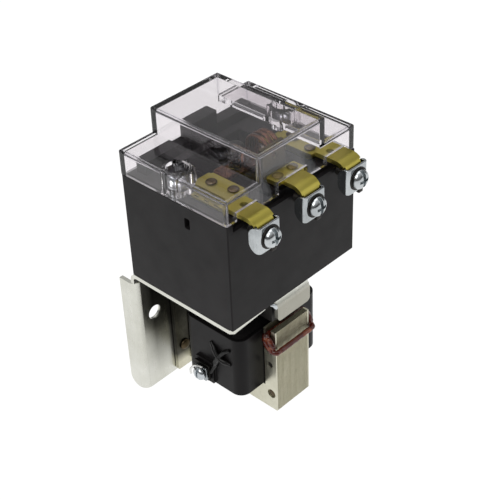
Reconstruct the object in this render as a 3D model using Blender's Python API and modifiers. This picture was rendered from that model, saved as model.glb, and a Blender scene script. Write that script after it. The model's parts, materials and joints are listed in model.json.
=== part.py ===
"""Open-coil, panel-mounted control relay with a changeover contact.

The body is a moulded contact housing under a clear stepped cover.  Three brass
terminal straps leave through the front, and a bent steel bracket carries the
housing above an AC electromagnet.  World axes: +X to the right, -Y to the front
(the terminals), +Z up.  The origin is on the rear face of the mounting plate,
midway between its two holes.

Dimensions below are millimetres in the housing's own axes (centre of the block
at zero); P() turns them into world metres.
"""
import math

import bmesh
import bpy
from mathutils import Matrix, Vector

# ---------------------------------------------------------------- dimensions
MM = 0.001
BODY_W, BODY_D, BODY_H = 63.5, 49.8, 42.2       # contact housing block
HX, HY, HZ = BODY_W / 2, BODY_D / 2, BODY_H / 2
SHEET = 1.6                                      # bracket sheet thickness
GAP = 0.3                                        # clearance between pieces
PLATE_FRONT_Y = 24.9                             # rear plate, front face
PLATE_REAR_Y = PLATE_FRONT_Y + SHEET             # rear plate, mounting face
FLANGE_Y = 33.0                                  # rear edge of the flanges
PLATE_BOTTOM_Z = -78.0
FLANGE_TOP_Z = -26.8
BASE_TOP_Z = -HZ - GAP                           # bracket base plate
BASE_BOTTOM_Z = BASE_TOP_Z - SHEET
HOLE_X, HOLE_Z, HOLE_R = 23.4, -44.0, 3.0        # mounting holes
TIER1_Z, TIER2_Z = 30.7, 40.3                    # cover: top of each step
TIER2_X = 16.3                                   # cover: half width of upper step
WALL = 1.8                                       # cover wall
COVER_FRONT_Y, COVER_REAR_Y = -24.6, 25.3
WELL_X, WELL_Y, WELL_R = 26.3, 2.4, 5.0          # cover screw wells
PITCH = 22.0                                     # terminal pitch
STRAP_W, STRAP_T = 9.0, 1.6
STRAP_Y = -32.2                                  # centre of the vertical leg
STRAP_Z = {"left": 23.3, "centre": 24.8, "right": 23.3}
CLAMP_Z = {"left": 17.4, "centre": 17.9, "right": 17.6}
TERM_X = {"left": -PITCH, "centre": 0.0, "right": PITCH}
CORE_X = 9.0                                     # half the stack thickness
CORE_FRONT_Y, CORE_REAR_Y = -23.0, 17.7
CORE_MID_Y = (CORE_FRONT_Y + CORE_REAR_Y) / 2
LEG = 5.7                                        # outer leg; centre leg is twice
POLE_Z, YOKE_Z, CORE_BOTTOM_Z = -37.4, -65.0, -75.1
COIL_X, COIL_FRONT_Y, COIL_REAR_Y = 21.2, -17.0, 11.7
COIL_TOP_Z, COIL_BOTTOM_Z = -38.2, -64.2
TRAVEL = 3.6                                     # armature stroke
BAR_RATIO = 0.75                                 # contact bar's share of it

# -------------------------------------------------------------------- set-up
for old in list(bpy.data.objects):
    bpy.data.objects.remove(old, do_unlink=True)

PARTS = bpy.data.collections.new("control_relay")
CUTTERS = bpy.data.collections.new("cutters")
bpy.context.scene.collection.children.link(PARTS)
bpy.context.scene.collection.children.link(CUTTERS)


def P(x, y, z):
    """Housing millimetres to world metres."""
    return Vector((x, y - PLATE_REAR_Y, z - HOLE_Z)) * MM


def material(name, colour, rough, metal=0.0, alpha=1.0):
    mat = bpy.data.materials.new(name)
    mat.use_nodes = True
    node = mat.node_tree.nodes["Principled BSDF"]
    node.inputs["Base Color"].default_value = (*colour, 1.0)
    node.inputs["Roughness"].default_value = rough
    node.inputs["Metallic"].default_value = metal
    node.inputs["Alpha"].default_value = alpha
    return mat


TINTS = {
    "phenolic": ((0.030, 0.029, 0.030), 0.42, 0.0, 1.0),
    "clear": ((0.88, 0.86, 0.90), 0.06, 0.0, 0.3),
    "brass": ((0.42, 0.34, 0.11), 0.38, 1.0, 1.0),
    "zinc": ((0.72, 0.74, 0.73), 0.25, 1.0, 1.0),
    "plated_sheet": ((0.62, 0.62, 0.54), 0.40, 1.0, 1.0),
    "lamination": ((0.50, 0.48, 0.38), 0.45, 1.0, 1.0),
    "coil_black": ((0.024, 0.023, 0.024), 0.35, 0.0, 1.0),
    "nylon": ((0.05, 0.05, 0.05), 0.45, 0.0, 1.0),
    "copper": ((0.62, 0.29, 0.17), 0.35, 1.0, 1.0),
    "varnish": ((0.30, 0.055, 0.03), 0.22, 0.0, 1.0),
    "spring": ((0.60, 0.60, 0.60), 0.25, 1.0, 1.0),
    "silver": ((0.80, 0.79, 0.76), 0.22, 1.0, 1.0),
}


def finish(ob, tint, collection=PARTS):
    """Link an object, give it a material of its own and smooth its round faces."""
    collection.objects.link(ob)
    if collection is CUTTERS:
        ob.hide_render = True
        ob.display_type = "WIRE"
        return ob
    colour, rough, metal, alpha = TINTS[tint]
    ob.data.materials.clear()
    ob.data.materials.append(material(ob.name, colour, rough, metal, alpha))
    if ob.type == "MESH" and len(ob.data.polygons):
        ob.data.shade_smooth()
        ob.data.set_sharp_from_angle(angle=math.radians(35))
    return ob


def to_object(name, bm, at, tint, collection=PARTS):
    """A bmesh drawn in housing millimetres becomes an object with origin `at`."""
    shift = Matrix.Scale(MM, 4) @ Matrix.Translation(-Vector(at))
    bm.transform(shift)
    bmesh.ops.recalc_face_normals(bm, faces=bm.faces)
    mesh = bpy.data.meshes.new(name)
    bm.to_mesh(mesh)
    bm.free()
    ob = bpy.data.objects.new(name, mesh)
    ob.location = P(*at)
    return finish(ob, tint, collection)


AXES = {"x": Vector((1, 0, 0)), "y": Vector((0, 1, 0)), "z": Vector((0, 0, 1))}


def add_box(bm, x, y, z, bevel=0.0, segments=2, keep=None):
    """A cuboid between the given pairs; edges that keep() accepts are rounded."""
    size = Vector((x[1] - x[0], y[1] - y[0], z[1] - z[0]))
    mid = Vector(((x[0] + x[1]) / 2, (y[0] + y[1]) / 2, (z[0] + z[1]) / 2))
    made = bmesh.ops.create_cube(
        bm, size=1.0,
        matrix=Matrix.Translation(mid) @ Matrix.Diagonal((*size, 1.0)))
    if bevel:
        edges = {e for v in made["verts"] for e in v.link_edges}
        chosen = []
        for e in edges:
            d = (e.verts[1].co - e.verts[0].co).normalized()
            m = (e.verts[0].co + e.verts[1].co) / 2 - mid
            along = max("xyz", key=lambda a: abs(d.dot(AXES[a])))
            if keep is None or keep(along, m):
                chosen.append(e)
        bmesh.ops.bevel(bm, geom=chosen, offset=bevel, offset_type="OFFSET",
                        segments=segments, profile=0.5, affect="EDGES")


def box(name, tint, x, y, z, bevel=0.0, segments=2, keep=None, collection=PARTS):
    bm = bmesh.new()
    add_box(bm, x, y, z, bevel, segments, keep)
    at = ((x[0] + x[1]) / 2, (y[0] + y[1]) / 2, (z[0] + z[1]) / 2)
    return to_object(name, bm, at, tint, collection)


def turn(axis):
    return {
        "x": Matrix.Rotation(math.radians(90), 4, "Y"),
        "y": Matrix.Rotation(math.radians(-90), 4, "X"),
        "z": Matrix.Identity(4),
    }[axis]


def rod(name, tint, axis, centre, r, length, sides=20, chamfer=0.0, r2=None,
        collection=PARTS):
    """A cylinder (or cone) along an axis, centred on a point."""
    bm = bmesh.new()
    bmesh.ops.create_cone(
        bm, cap_ends=True, segments=sides, radius1=r, radius2=r if r2 is None else r2,
        depth=length, matrix=Matrix.Translation(Vector(centre)) @ turn(axis))
    if chamfer:
        rims = [e for e in bm.edges
                if any(len(f.verts) > 4 for f in e.link_faces)]
        bmesh.ops.bevel(bm, geom=rims, offset=chamfer, offset_type="OFFSET",
                        segments=1, profile=0.5, affect="EDGES")
    return to_object(name, bm, centre, tint, collection)


def turned(name, tint, axis, sign, centre, profile, steps=24, collection=PARTS):
    """A turned solid: (radius, height) pairs run from the top of the axis down
    the outside to the bottom of the axis.  Height points along sign * axis."""
    mesh = bpy.data.meshes.new(name)
    points = [(r * MM, 0.0, h * MM) for r, h in profile]
    mesh.from_pydata(points, [(i, i + 1) for i in range(len(points) - 1)], [])
    ob = bpy.data.objects.new(name, mesh)
    flip = {
        ("z", 1): Matrix.Identity(3), ("z", -1): Matrix.Rotation(math.pi, 3, "X"),
        ("y", 1): Matrix.Rotation(-math.pi / 2, 3, "X"),
        ("y", -1): Matrix.Rotation(math.pi / 2, 3, "X"),
        ("x", 1): Matrix.Rotation(math.pi / 2, 3, "Y"),
        ("x", -1): Matrix.Rotation(-math.pi / 2, 3, "Y"),
    }[(axis, sign)]
    ob.rotation_euler = flip.to_euler()
    ob.location = P(*centre)
    finish(ob, tint, collection)
    screw = ob.modifiers.new("turn", "SCREW")
    screw.axis = "Z"
    screw.angle = math.radians(360)
    screw.steps = screw.render_steps = steps
    screw.use_merge_vertices = True
    screw.merge_threshold = 0.00001
    screw.use_smooth_shade = True
    return ob


def outline_mesh(points, half):
    """A flat outline as a filled 2D curve, extruded and welded; z is its depth."""
    curve = bpy.data.curves.new("outline", "CURVE")
    curve.dimensions = "2D"
    curve.fill_mode = "BOTH"
    curve.extrude = half
    spline = curve.splines.new("POLY")
    spline.points.add(len(points) - 1)
    for point, (u, v) in zip(spline.points, points):
        point.co = (u, v, 0.0, 1.0)
    spline.use_cyclic_u = True
    ob = bpy.data.objects.new("outline", curve)
    bpy.context.scene.collection.objects.link(ob)
    graph = bpy.context.evaluated_depsgraph_get()
    graph.update()
    mesh = bpy.data.meshes.new_from_object(ob.evaluated_get(graph))
    bm = bmesh.new()
    bm.from_mesh(mesh)
    bmesh.ops.remove_doubles(bm, verts=bm.verts, dist=0.0005)
    bmesh.ops.dissolve_limit(bm, angle_limit=math.radians(1.0), verts=bm.verts,
                             edges=bm.edges)
    bpy.data.objects.remove(ob, do_unlink=True)
    bpy.data.meshes.remove(mesh)
    return bm


def prism(name, tint, axis, span, points, collection=PARTS):
    """An outline extruded along an axis.  Points are (y, z) for an x prism,
    (x, z) for a y prism and (x, y) for a z prism."""
    lo, hi = span
    bm = outline_mesh(points, (hi - lo) / 2)
    mid = (lo + hi) / 2
    place = {
        "x": Matrix(((0, 0, 1, mid), (1, 0, 0, 0), (0, 1, 0, 0), (0, 0, 0, 1))),
        "y": Matrix(((1, 0, 0, 0), (0, 0, -1, mid), (0, 1, 0, 0), (0, 0, 0, 1))),
        "z": Matrix.Translation((0, 0, mid)),
    }[axis]
    bm.transform(place)
    us = [p[0] for p in points]
    vs = [p[1] for p in points]
    u, v = (min(us) + max(us)) / 2, (min(vs) + max(vs)) / 2
    at = {"x": (mid, u, v), "y": (u, mid, v), "z": (u, v, mid)}[axis]
    return to_object(name, bm, at, tint, collection)


def arc(cu, cv, r, a0, a1, n):
    return [(cu + r * math.cos(math.radians(a0 + (a1 - a0) * i / n)),
             cv + r * math.sin(math.radians(a0 + (a1 - a0) * i / n)))
            for i in range(n + 1)]


def rounded(u, v, r, n=4):
    """A rectangle with round corners."""
    pts = []
    for cu, cv, a in ((u[1] - r, v[0] + r, -90), (u[1] - r, v[1] - r, 0),
                      (u[0] + r, v[1] - r, 90), (u[0] + r, v[0] + r, 180)):
        pts += arc(cu, cv, r, a, a + 90, n)
    return pts


def strip(path, radius, thick, n=5):
    """The closed outline of a bent strip: a centre line with rounded corners."""
    radii = radius if isinstance(radius, (list, tuple)) else [radius] * len(path)
    line = [Vector(path[0])]
    for i in range(1, len(path) - 1):
        a, b, c = (Vector(path[i - 1]), Vector(path[i]), Vector(path[i + 1]))
        d0, d1 = (b - a).normalized(), (c - b).normalized()
        bend = d0.angle(d1)
        cut_back = radii[i] * math.tan(bend / 2)
        start = b - d0 * cut_back
        side = 1.0 if d0.x * d1.y - d0.y * d1.x > 0 else -1.0
        normal = Vector((-d0.y, d0.x)) * side
        centre = start + normal * radii[i]
        for k in range(n + 1):
            t = bend * k / n * side
            arm = start - centre
            line.append(centre + Vector((arm.x * math.cos(t) - arm.y * math.sin(t),
                                         arm.x * math.sin(t) + arm.y * math.cos(t))))
    line.append(Vector(path[-1]))
    left, right = [], []
    for i, p in enumerate(line):
        d = (line[min(i + 1, len(line) - 1)] - line[max(i - 1, 0)]).normalized()
        normal = Vector((-d.y, d.x)) * thick / 2
        left.append(tuple(p + normal))
        right.append(tuple(p - normal))
    return left + right[::-1]


def boolean(ob, other, operation):
    mod = ob.modifiers.new(operation.lower(), "BOOLEAN")
    mod.operation = operation
    mod.solver = "EXACT"
    mod.object = other
    return ob


def cut(ob, *cutters):
    for c in cutters:
        boolean(ob, c, "DIFFERENCE")
    return ob


def join(ob, *pieces):
    for p in pieces:
        boolean(ob, p, "UNION")
    return ob


count = [0]


def cbox(x, y, z, bevel=0.0, segments=2, keep=None):
    count[0] += 1
    return box("tool_%03d" % count[0], None, x, y, z, bevel, segments, keep, CUTTERS)


def crod(axis, centre, r, length, sides=20, r2=None):
    count[0] += 1
    return rod("tool_%03d" % count[0], None, axis, centre, r, length, sides, 0.0, r2,
               CUTTERS)


def cprism(axis, span, points):
    count[0] += 1
    return prism("tool_%03d" % count[0], None, axis, span, points, CUTTERS)


def wire(name, tint, points, r, cyclic=False, resolution=2):
    """A round wire along computed points: a bevelled POLY curve made a mesh."""
    origin = Vector((sum(p[0] for p in points), sum(p[1] for p in points),
                     sum(p[2] for p in points))) / len(points)
    curve = bpy.data.curves.new(name, "CURVE")
    curve.dimensions = "3D"
    curve.bevel_depth = r
    curve.bevel_resolution = resolution
    curve.use_fill_caps = not cyclic
    spline = curve.splines.new("POLY")
    spline.points.add(len(points) - 1)
    for point, co in zip(spline.points, points):
        point.co = (*co, 1.0)
    spline.use_cyclic_u = cyclic
    ob = bpy.data.objects.new("wire", curve)
    bpy.context.scene.collection.objects.link(ob)
    graph = bpy.context.evaluated_depsgraph_get()
    graph.update()
    mesh = bpy.data.meshes.new_from_object(ob.evaluated_get(graph))
    bm = bmesh.new()
    bm.from_mesh(mesh)
    bmesh.ops.remove_doubles(bm, verts=bm.verts, dist=0.0005)
    bpy.data.objects.remove(ob, do_unlink=True)
    bpy.data.meshes.remove(mesh)
    return to_object(name, bm, tuple(origin), tint)


def coil_points(cx, cy, z0, z1, r, turns, per_turn=12, flat=0.75):
    """A compression spring with closed ends."""
    n = int(turns * per_turn)
    pts = []
    for i in range(n + 1):
        t = i / per_turn
        ease = min(max((t - flat) / (turns - 2 * flat), 0.0), 1.0)
        a = 2 * math.pi * t
        pts.append((cx + r * math.cos(a), cy + r * math.sin(a), z0 + (z1 - z0) * ease))
    return pts


# ---------------------------------------------------------- contact housing
vertical = lambda along, m: along == "z"
housing = box("contact_housing", "phenolic", (-HX, HX), (-HY, HY), (-HZ, HZ),
              bevel=0.5, segments=3, keep=vertical)
join(
    housing,
    # rear barrier and central tower
    cbox((-26.0, 26.0), (17.6, 22.6), (18.0, 25.0), 0.6, 1, vertical),
    cbox((-5.0, 7.5), (17.2, 22.6), (17.0, 30.4), 0.6, 1, vertical),
    # ledge under the centre terminal
    cbox((-9.6, 9.6), (-21.8, -14.4), (18.0, 22.4), 0.5, 1, vertical),
)
cut(
    housing,
    # step along the top of the front wall
    cbox((-29.2, 29.2), (-27.0, -23.1), (18.4, 24.0)),
    # contact chamber, and the well around the carrier's stem
    cbox((-14.5, 14.5), (-14.0, 14.0), (-9.0, 24.0)),
    cbox((-6.0, 6.0), (-8.6, 3.6), (-24.0, -7.0)),
    # slot in the left side wall
    cbox((-33.0, -29.4), (-7.5, -5.1), (12.6, 16.8), 0.5, 1,
         lambda along, m: along == "x"),
    # screw holes for the cover and for the base plate
    crod("z", (-WELL_X, WELL_Y, 18.0), 1.9, 14.0, 16),
    crod("z", (WELL_X, WELL_Y, 18.0), 1.9, 14.0, 16),
    crod("z", (-24.0, -14.0, -18.0), 1.9, 12.0, 16),
    crod("z", (24.0, 12.0, -18.0), 1.9, 12.0, 16),
)

# ------------------------------------------------------------- clear cover
above = lambda along, m: along == "z" or m.z > 1.0
cover = box("clear_cover", "clear", (-HX, HX), (COVER_FRONT_Y, COVER_REAR_Y),
            (HZ + GAP, TIER1_Z), bevel=0.7, segments=3, keep=above)
well_outer = [crod("z", (s * WELL_X, WELL_Y, (21.7 + TIER1_Z) / 2 - 0.25), WELL_R,
                   TIER1_Z - 21.7 - 0.5, 24) for s in (-1, 1)]
join(cover, cbox((-TIER2_X, TIER2_X), (COVER_FRONT_Y, COVER_REAR_Y), (26.0, TIER2_Z), 0.7, 3,
                 above))
cut(
    cover,
    cbox((-HX + WALL, HX - WALL), (COVER_FRONT_Y + WALL, COVER_REAR_Y - WALL),
         (10.0, TIER1_Z - WALL), 0.4, 2, above),
    cbox((-TIER2_X + WALL, TIER2_X - WALL), (COVER_FRONT_Y + WALL, COVER_REAR_Y - WALL),
         (12.0, TIER2_Z - WALL), 0.4, 2, above),
)
join(cover, *well_outer)
cut(
    cover,
    *[crod("z", (s * WELL_X, WELL_Y, 33.6), WELL_R - 1.1, 20.0, 24) for s in (-1, 1)],
    *[crod("z", (s * WELL_X, WELL_Y, 22.0), 1.9, 8.0, 16) for s in (-1, 1)],
    # notches over the straps
    cbox((TERM_X["left"] - 4.9, TERM_X["left"] + 4.9), (-27.0, -21.0), (10.0, 24.5)),
    cbox((-7.15, 7.15), (-27.0, -21.0), (10.0, 26.0)),
    cbox((TERM_X["right"] - 4.9, TERM_X["right"] + 4.9), (-27.0, -21.0), (10.0, 24.5)),
)

for side, s in (("left", -1), ("right", 1)):
    name = "cover_screw_" + side
    screw = turned(name, "zinc", "z", 1, (s * WELL_X, WELL_Y, 24.0),
                   [(0, 2.3), (1.9, 2.15), (2.9, 1.6), (3.3, 0.7), (3.3, 0),
                    (1.5, 0), (1.5, -10.4), (0.9, -11.2), (0, -11.2)], 20)
    cut(screw, cbox((s * WELL_X - 0.45, s * WELL_X + 0.45),
                    (WELL_Y - 4, WELL_Y + 4), (25.3, 28.0)))

# ---------------------------------------------------------------- bracket
base_outline = [(-HX + 1.2, PLATE_REAR_Y - 3), (-HX, 20.0), (-HX, -23.2), (-HX + 1.2, -24.5),
                (-14.2, -23.5), (-14.0, -20.0), (-9.1, -20.0), (-9.1, -22.3),
                (8.3, -22.3), (8.3, -20.0), (10.2, -20.0), (10.4, -22.6),
                (HX - 1.2, -22.6), (HX, -21.4), (HX, 20.0), (HX - 1.2, PLATE_REAR_Y - 3)]
bracket = prism("mounting_bracket", "plated_sheet", "x", (-HX, HX),
                strip([(-18.0, BASE_TOP_Z - SHEET / 2),
                       (PLATE_FRONT_Y + SHEET / 2, BASE_TOP_Z - SHEET / 2),
                       (PLATE_FRONT_Y + SHEET / 2, PLATE_BOTTOM_Z)], 2.2, SHEET, 4))
channel = cprism("z", (PLATE_BOTTOM_Z, FLANGE_TOP_Z),
                 strip([(-HX + SHEET / 2, FLANGE_Y),
                        (-HX + SHEET / 2, PLATE_FRONT_Y + SHEET / 2),
                        (HX - SHEET / 2, PLATE_FRONT_Y + SHEET / 2),
                        (HX - SHEET / 2, FLANGE_Y)], 2.4, SHEET, 4))
tongue = cprism("z", (BASE_BOTTOM_Z, BASE_TOP_Z),
                [p for p in base_outline if p[1] < 15.0]
                + [(HX, -10.0), (-HX, -10.0)])
# the front tab hangs from the base plate between two relief notches
tab = cprism("x", (-8.5, 8.5),
             strip([(-17.0, BASE_TOP_Z - SHEET / 2 - 0.02),
                    (-23.4, BASE_TOP_Z - SHEET / 2 - 0.02), (-23.4, -31.7)],
                   4.2, SHEET, 6))
corner = FLANGE_Y - 5.0
cut(
    bracket,
    cbox((-HX - 1, -HX + 2.6), (PLATE_FRONT_Y - 0.6, 40.0),
         (PLATE_BOTTOM_Z - 1.0, FLANGE_TOP_Z + 0.8)),
    cbox((HX - 2.6, HX + 1), (PLATE_FRONT_Y - 0.6, 40.0),
         (PLATE_BOTTOM_Z - 1.0, FLANGE_TOP_Z + 0.8)),
    cbox((-40.0, 40.0), (-40.0, -17.6), (-30.0, -15.0)),
)
join(bracket, channel, tongue, tab)
cut(
    bracket,
    # window for the carrier's stem
    cbox((-7.2, 7.2), (-9.6, 4.6), (-27.0, -15.0)),
    # mounting holes
    crod("y", (-HOLE_X, 25.7, HOLE_Z), HOLE_R, 6.0, 32),
    crod("y", (HOLE_X, 25.7, HOLE_Z), HOLE_R, 6.0, 32),
    # screw holes
    crod("z", (-24.0, -14.0, -22.0), 1.9, 6.0, 16),
    crod("z", (24.0, 12.0, -22.0), 1.9, 6.0, 16),
    crod("y", (0.0, 25.7, -60.0), 1.9, 6.0, 14),
    *[crod("y", (s * 11.8, 25.7, -66.0), 1.5, 6.0, 12) for s in (-1, 1)],
    # round the lower corners of the tab and of the flanges
    *[cprism("y", (-26.0, -21.0),
             [(s * 8.6, -31.9), (s * 6.9, -31.9)]
             + [(s * u, v) for u, v in arc(6.9, -30.1, 1.6, -90, 0, 4)]
             + [(s * 8.6, -30.1)]) for s in (-1, 1)],
    *[cprism("x", (s * HX - 4.0, s * HX + 4.0),
             [(FLANGE_Y + 0.2, PLATE_BOTTOM_Z - 0.2), (corner, PLATE_BOTTOM_Z - 0.2)]
             + arc(FLANGE_Y - 4.2, PLATE_BOTTOM_Z + 4.2, 4.2, -90, 0, 5)
             + [(FLANGE_Y + 0.2, PLATE_BOTTOM_Z + 4.2)]) for s in (-1, 1)],
)

for side, x, y in (("left", -24.0, -14.0), ("right", 24.0, 12.0)):
    screw = turned("housing_screw_" + side, "zinc", "z", -1, (x, y, BASE_BOTTOM_Z - GAP),
                   [(0, 2.0), (2.0, 1.9), (2.8, 1.3), (3.0, 0.5), (3.0, 0), (1.5, 0),
                    (1.5, -8.0), (0.8, -8.8), (0, -8.8)], 16)
    cut(screw, cbox((x - 0.4, x + 0.4), (y - 4, y + 4),
                    (BASE_BOTTOM_Z - 5.0, BASE_BOTTOM_Z - GAP - 1.1)))

# ------------------------------------------------- electromagnet's fixed iron
core_plate = box("rear_core_plate", "plated_sheet", (-15.8, 15.8), (23.0, 24.6),
                 (-77.0, -24.0), 0.5, 1, lambda along, m: along == "y")
cut(core_plate, crod("y", (0, 23.8, -60.0), 1.9, 6.0, 14),
    *[crod("y", (s * 11.8, 23.8, -66.0), 1.5, 6.0, 12) for s in (-1, 1)])
block = box("core_mount_block", "plated_sheet", (-CORE_X, CORE_X), (18.0, 22.7),
            (CORE_BOTTOM_Z, -48.4), 0.4, 1)
cut(block, crod("y", (0, 20.3, -60.0), 1.9, 8.0, 14))
for s, name in ((-1, "left"), (1, "right")):
    turned("plate_rivet_" + name, "zinc", "y", -1, (s * 11.8, 23.0 - GAP, -66.0),
           [(0, 1.1), (1.5, 0.9), (2.3, 0.35), (2.3, 0), (1.15, 0), (1.15, -3.6), (0, -3.6)],
           12)
for z in (-60.0,):
    screw = turned("core_screw", "zinc", "y", 1,
                   (0, PLATE_REAR_Y + GAP, z),
                   [(0, 2.0), (2.0, 1.9), (2.8, 1.3), (3.0, 0.5), (3.0, 0), (1.5, 0),
                    (1.5, -7.6), (0.9, -8.2), (0, -8.2)], 16)
    cut(screw, cbox((-4, 4), (PLATE_REAR_Y + GAP + 1.1, PLATE_REAR_Y + 5.0),
                    (z - 0.4, z + 0.4)))

window_front = (CORE_FRONT_Y + LEG, CORE_MID_Y - LEG)
window_rear = (CORE_MID_Y + LEG, CORE_REAR_Y - LEG)
e_shape = [
    (CORE_FRONT_Y, CORE_BOTTOM_Z), (CORE_REAR_Y, CORE_BOTTOM_Z),
    (CORE_REAR_Y, POLE_Z), (window_rear[1], POLE_Z), (window_rear[1], YOKE_Z),
    (window_rear[0], YOKE_Z), (window_rear[0], POLE_Z), (window_front[1], POLE_Z),
    (window_front[1], YOKE_Z), (window_front[0], YOKE_Z), (window_front[0], POLE_Z),
    (CORE_FRONT_Y, POLE_Z)]
core = prism("core_stack", "lamination", "x", (-CORE_X, CORE_X), e_shape)
SLOT_F, SLOT_R = -19.4, 14.1                      # shading slots in the outer poles
cut(core,
    cbox((-12, 12), (SLOT_F - 1.3, SLOT_F + 1.3), (POLE_Z - 3.4, POLE_Z + 2)),
    cbox((-12, 12), (SLOT_R - 1.3, SLOT_R + 1.3), (POLE_Z - 3.4, POLE_Z + 2)),
    crod("x", (0, -20.3, -68.0), 1.9, 30.0, 16),
    crod("x", (0, 14.8, -68.0), 1.9, 30.0, 16),
    crod("x", (-10.0, -19.6, -53.4), 1.0, 4.0, 12),
    crod("x", (10.0, -19.6, -53.4), 1.0, 4.0, 12))
for name, y in (("front", -20.3), ("rear", 14.8)):
    rod("core_rivet_" + name, "zinc", "x", (0, y, -68.0), 1.6, 2 * CORE_X - 1.6, 16, 0.3)


def shading_loop(front, slot, sign):
    """A ring of round wire: level across the outer face of the leg, rising along
    both sides, and lying in the slot across the pole."""
    low, high = -45.4, POLE_Z - 2.15
    side = CORE_X + 1.75
    pts = []
    steps = 5
    for i in range(steps + 1):                    # across the outer face
        pts.append((-side + 2.2 + (2 * side - 4.4) * i / steps, front, low))
    for a in (30, 60, 90):
        t = math.radians(a)
        pts.append((side - 2.2 + 2.2 * math.sin(t), front + sign * 2.0 * (1 - math.cos(t)),
                    low + 0.5 * (a / 90.0)))
    back = [(side + 0.45, front + sign * 3.4, low + 3.2), (side, slot - sign * 0.2, high - 0.7),
            (side - 1.6, slot, high)]
    pts += back
    for i in range(1, steps):
        pts.append((side - 1.6 - (2 * side - 3.2) * i / steps, slot, high))
    pts += [(-x, y, z) for x, y, z in back[::-1]]
    for a in (90, 60, 30):
        t = math.radians(a)
        pts.append((-side + 2.2 - 2.2 * math.sin(t),
                    front + sign * 2.0 * (1 - math.cos(t)), low + 0.5 * (a / 90.0)))
    return pts


wire("shading_ring_front", "varnish",
     shading_loop(CORE_FRONT_Y - 1.35, SLOT_F, 1), 0.98, True, 2)
wire("shading_ring_rear", "varnish",
     shading_loop(CORE_REAR_Y + 1.35, SLOT_R, -1), 0.98, True, 2)

# --------------------------------------------------------------------- coil
def ring_prism(name, tint, x, y, z, r, hole_x, hole_y, hole_r):
    ob = prism(name, tint, "z", z, rounded(x, y, r, 5))
    return cut(ob, cprism("z", (z[0] - 2, z[1] + 2), rounded(hole_x, hole_y, hole_r, 3)))


tube_x, tube_y = (-CORE_X - 0.4, CORE_X + 0.4), (CORE_MID_Y - LEG - 0.4, CORE_MID_Y + LEG + 0.4)
jacket = ring_prism("coil_jacket", "coil_black", (-COIL_X, COIL_X),
                    (COIL_FRONT_Y, COIL_REAR_Y), (COIL_BOTTOM_Z, COIL_TOP_Z), 4.4,
                    (-COIL_X + 1.6, COIL_X - 1.6),
                    (COIL_FRONT_Y + 1.6, COIL_REAR_Y - 1.6), 3.0)
TAB_Y, TAB_Z = 0.5, -59.0
join(jacket, *[cbox((s * COIL_X - 1.2, s * COIL_X + 1.2), (TAB_Y - 4.2, TAB_Y + 4.6), (-63.8, -54.2),
                    0.5, 1) for s in (-1, 1)])
cut(jacket, *[crod("x", (s * COIL_X, TAB_Y, TAB_Z), 1.8, 8.0, 16) for s in (-1, 1)])

flange = (-COIL_X + 1.95, COIL_X - 1.95), (COIL_FRONT_Y + 1.95, COIL_REAR_Y - 1.95)
bobbin = prism("coil_bobbin", "nylon", "z", (COIL_BOTTOM_Z + 0.3, COIL_TOP_Z - 0.4),
               rounded((tube_x[0] - 1.2, tube_x[1] + 1.2),
                       (tube_y[0] - 1.2, tube_y[1] + 1.2), 1.4, 3))
join(bobbin,
     cprism("z", (COIL_BOTTOM_Z + 0.4, COIL_BOTTOM_Z + 1.6), rounded(*flange, 2.7, 4)),
     cprism("z", (COIL_TOP_Z - 1.7, COIL_TOP_Z - 0.5), rounded(*flange, 2.7, 4)))
cut(bobbin, cprism("z", (COIL_BOTTOM_Z - 3, COIL_TOP_Z + 3), rounded(tube_x, tube_y, 0.4, 2)))
ring_prism("coil_winding", "copper", (-COIL_X + 2.6, COIL_X - 2.6),
           (COIL_FRONT_Y + 2.6, COIL_REAR_Y - 2.6),
           (COIL_BOTTOM_Z + 1.95, COIL_TOP_Z - 2.05), 2.4,
           (tube_x[0] - 1.55, tube_x[1] + 1.55), (tube_y[0] - 1.55, tube_y[1] + 1.55), 1.6)

for side, s in (("left", -1), ("right", 1)):
    face = s * (COIL_X + 1.2)
    order = lambda a, b: (min(a, b), max(a, b))
    tab_piece = box("coil_tab_" + side, "zinc",
                    order(face + s * 0.3, face + s * 1.1), (TAB_Y - 3.2, TAB_Y + 4.4),
                    (-62.4, -55.4),
                    0.25, 1, lambda along, m: along == "x")
    cut(tab_piece, crod("x", (face + s, TAB_Y, TAB_Z), 1.8, 6.0, 16))
    washer = box("coil_clamp_" + side, "zinc",
                 order(face + s * 1.4, face + s * 2.3), (TAB_Y - 2.9, TAB_Y + 2.9),
                 (TAB_Z - 2.9, TAB_Z + 2.9), 0.7, 2, lambda along, m: along == "x")
    cut(washer, crod("x", (face + s * 2, TAB_Y, TAB_Z), 1.8, 6.0, 16))
    screw = turned("coil_screw_" + side, "zinc", "x", s, (face + s * 2.6, TAB_Y, TAB_Z),
                   [(0, 2.0), (1.6, 1.85), (2.4, 1.35), (2.7, 0.6), (2.7, 0), (1.45, 0),
                    (1.45, -4.6), (0.9, -5.2), (0, -5.2)], 20)
    cut(screw, cbox(order(face + s * 3.6, face + s * 8.0), (TAB_Y - 0.4, TAB_Y + 0.4),
                    (TAB_Z - 4, TAB_Z + 4)))

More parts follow.
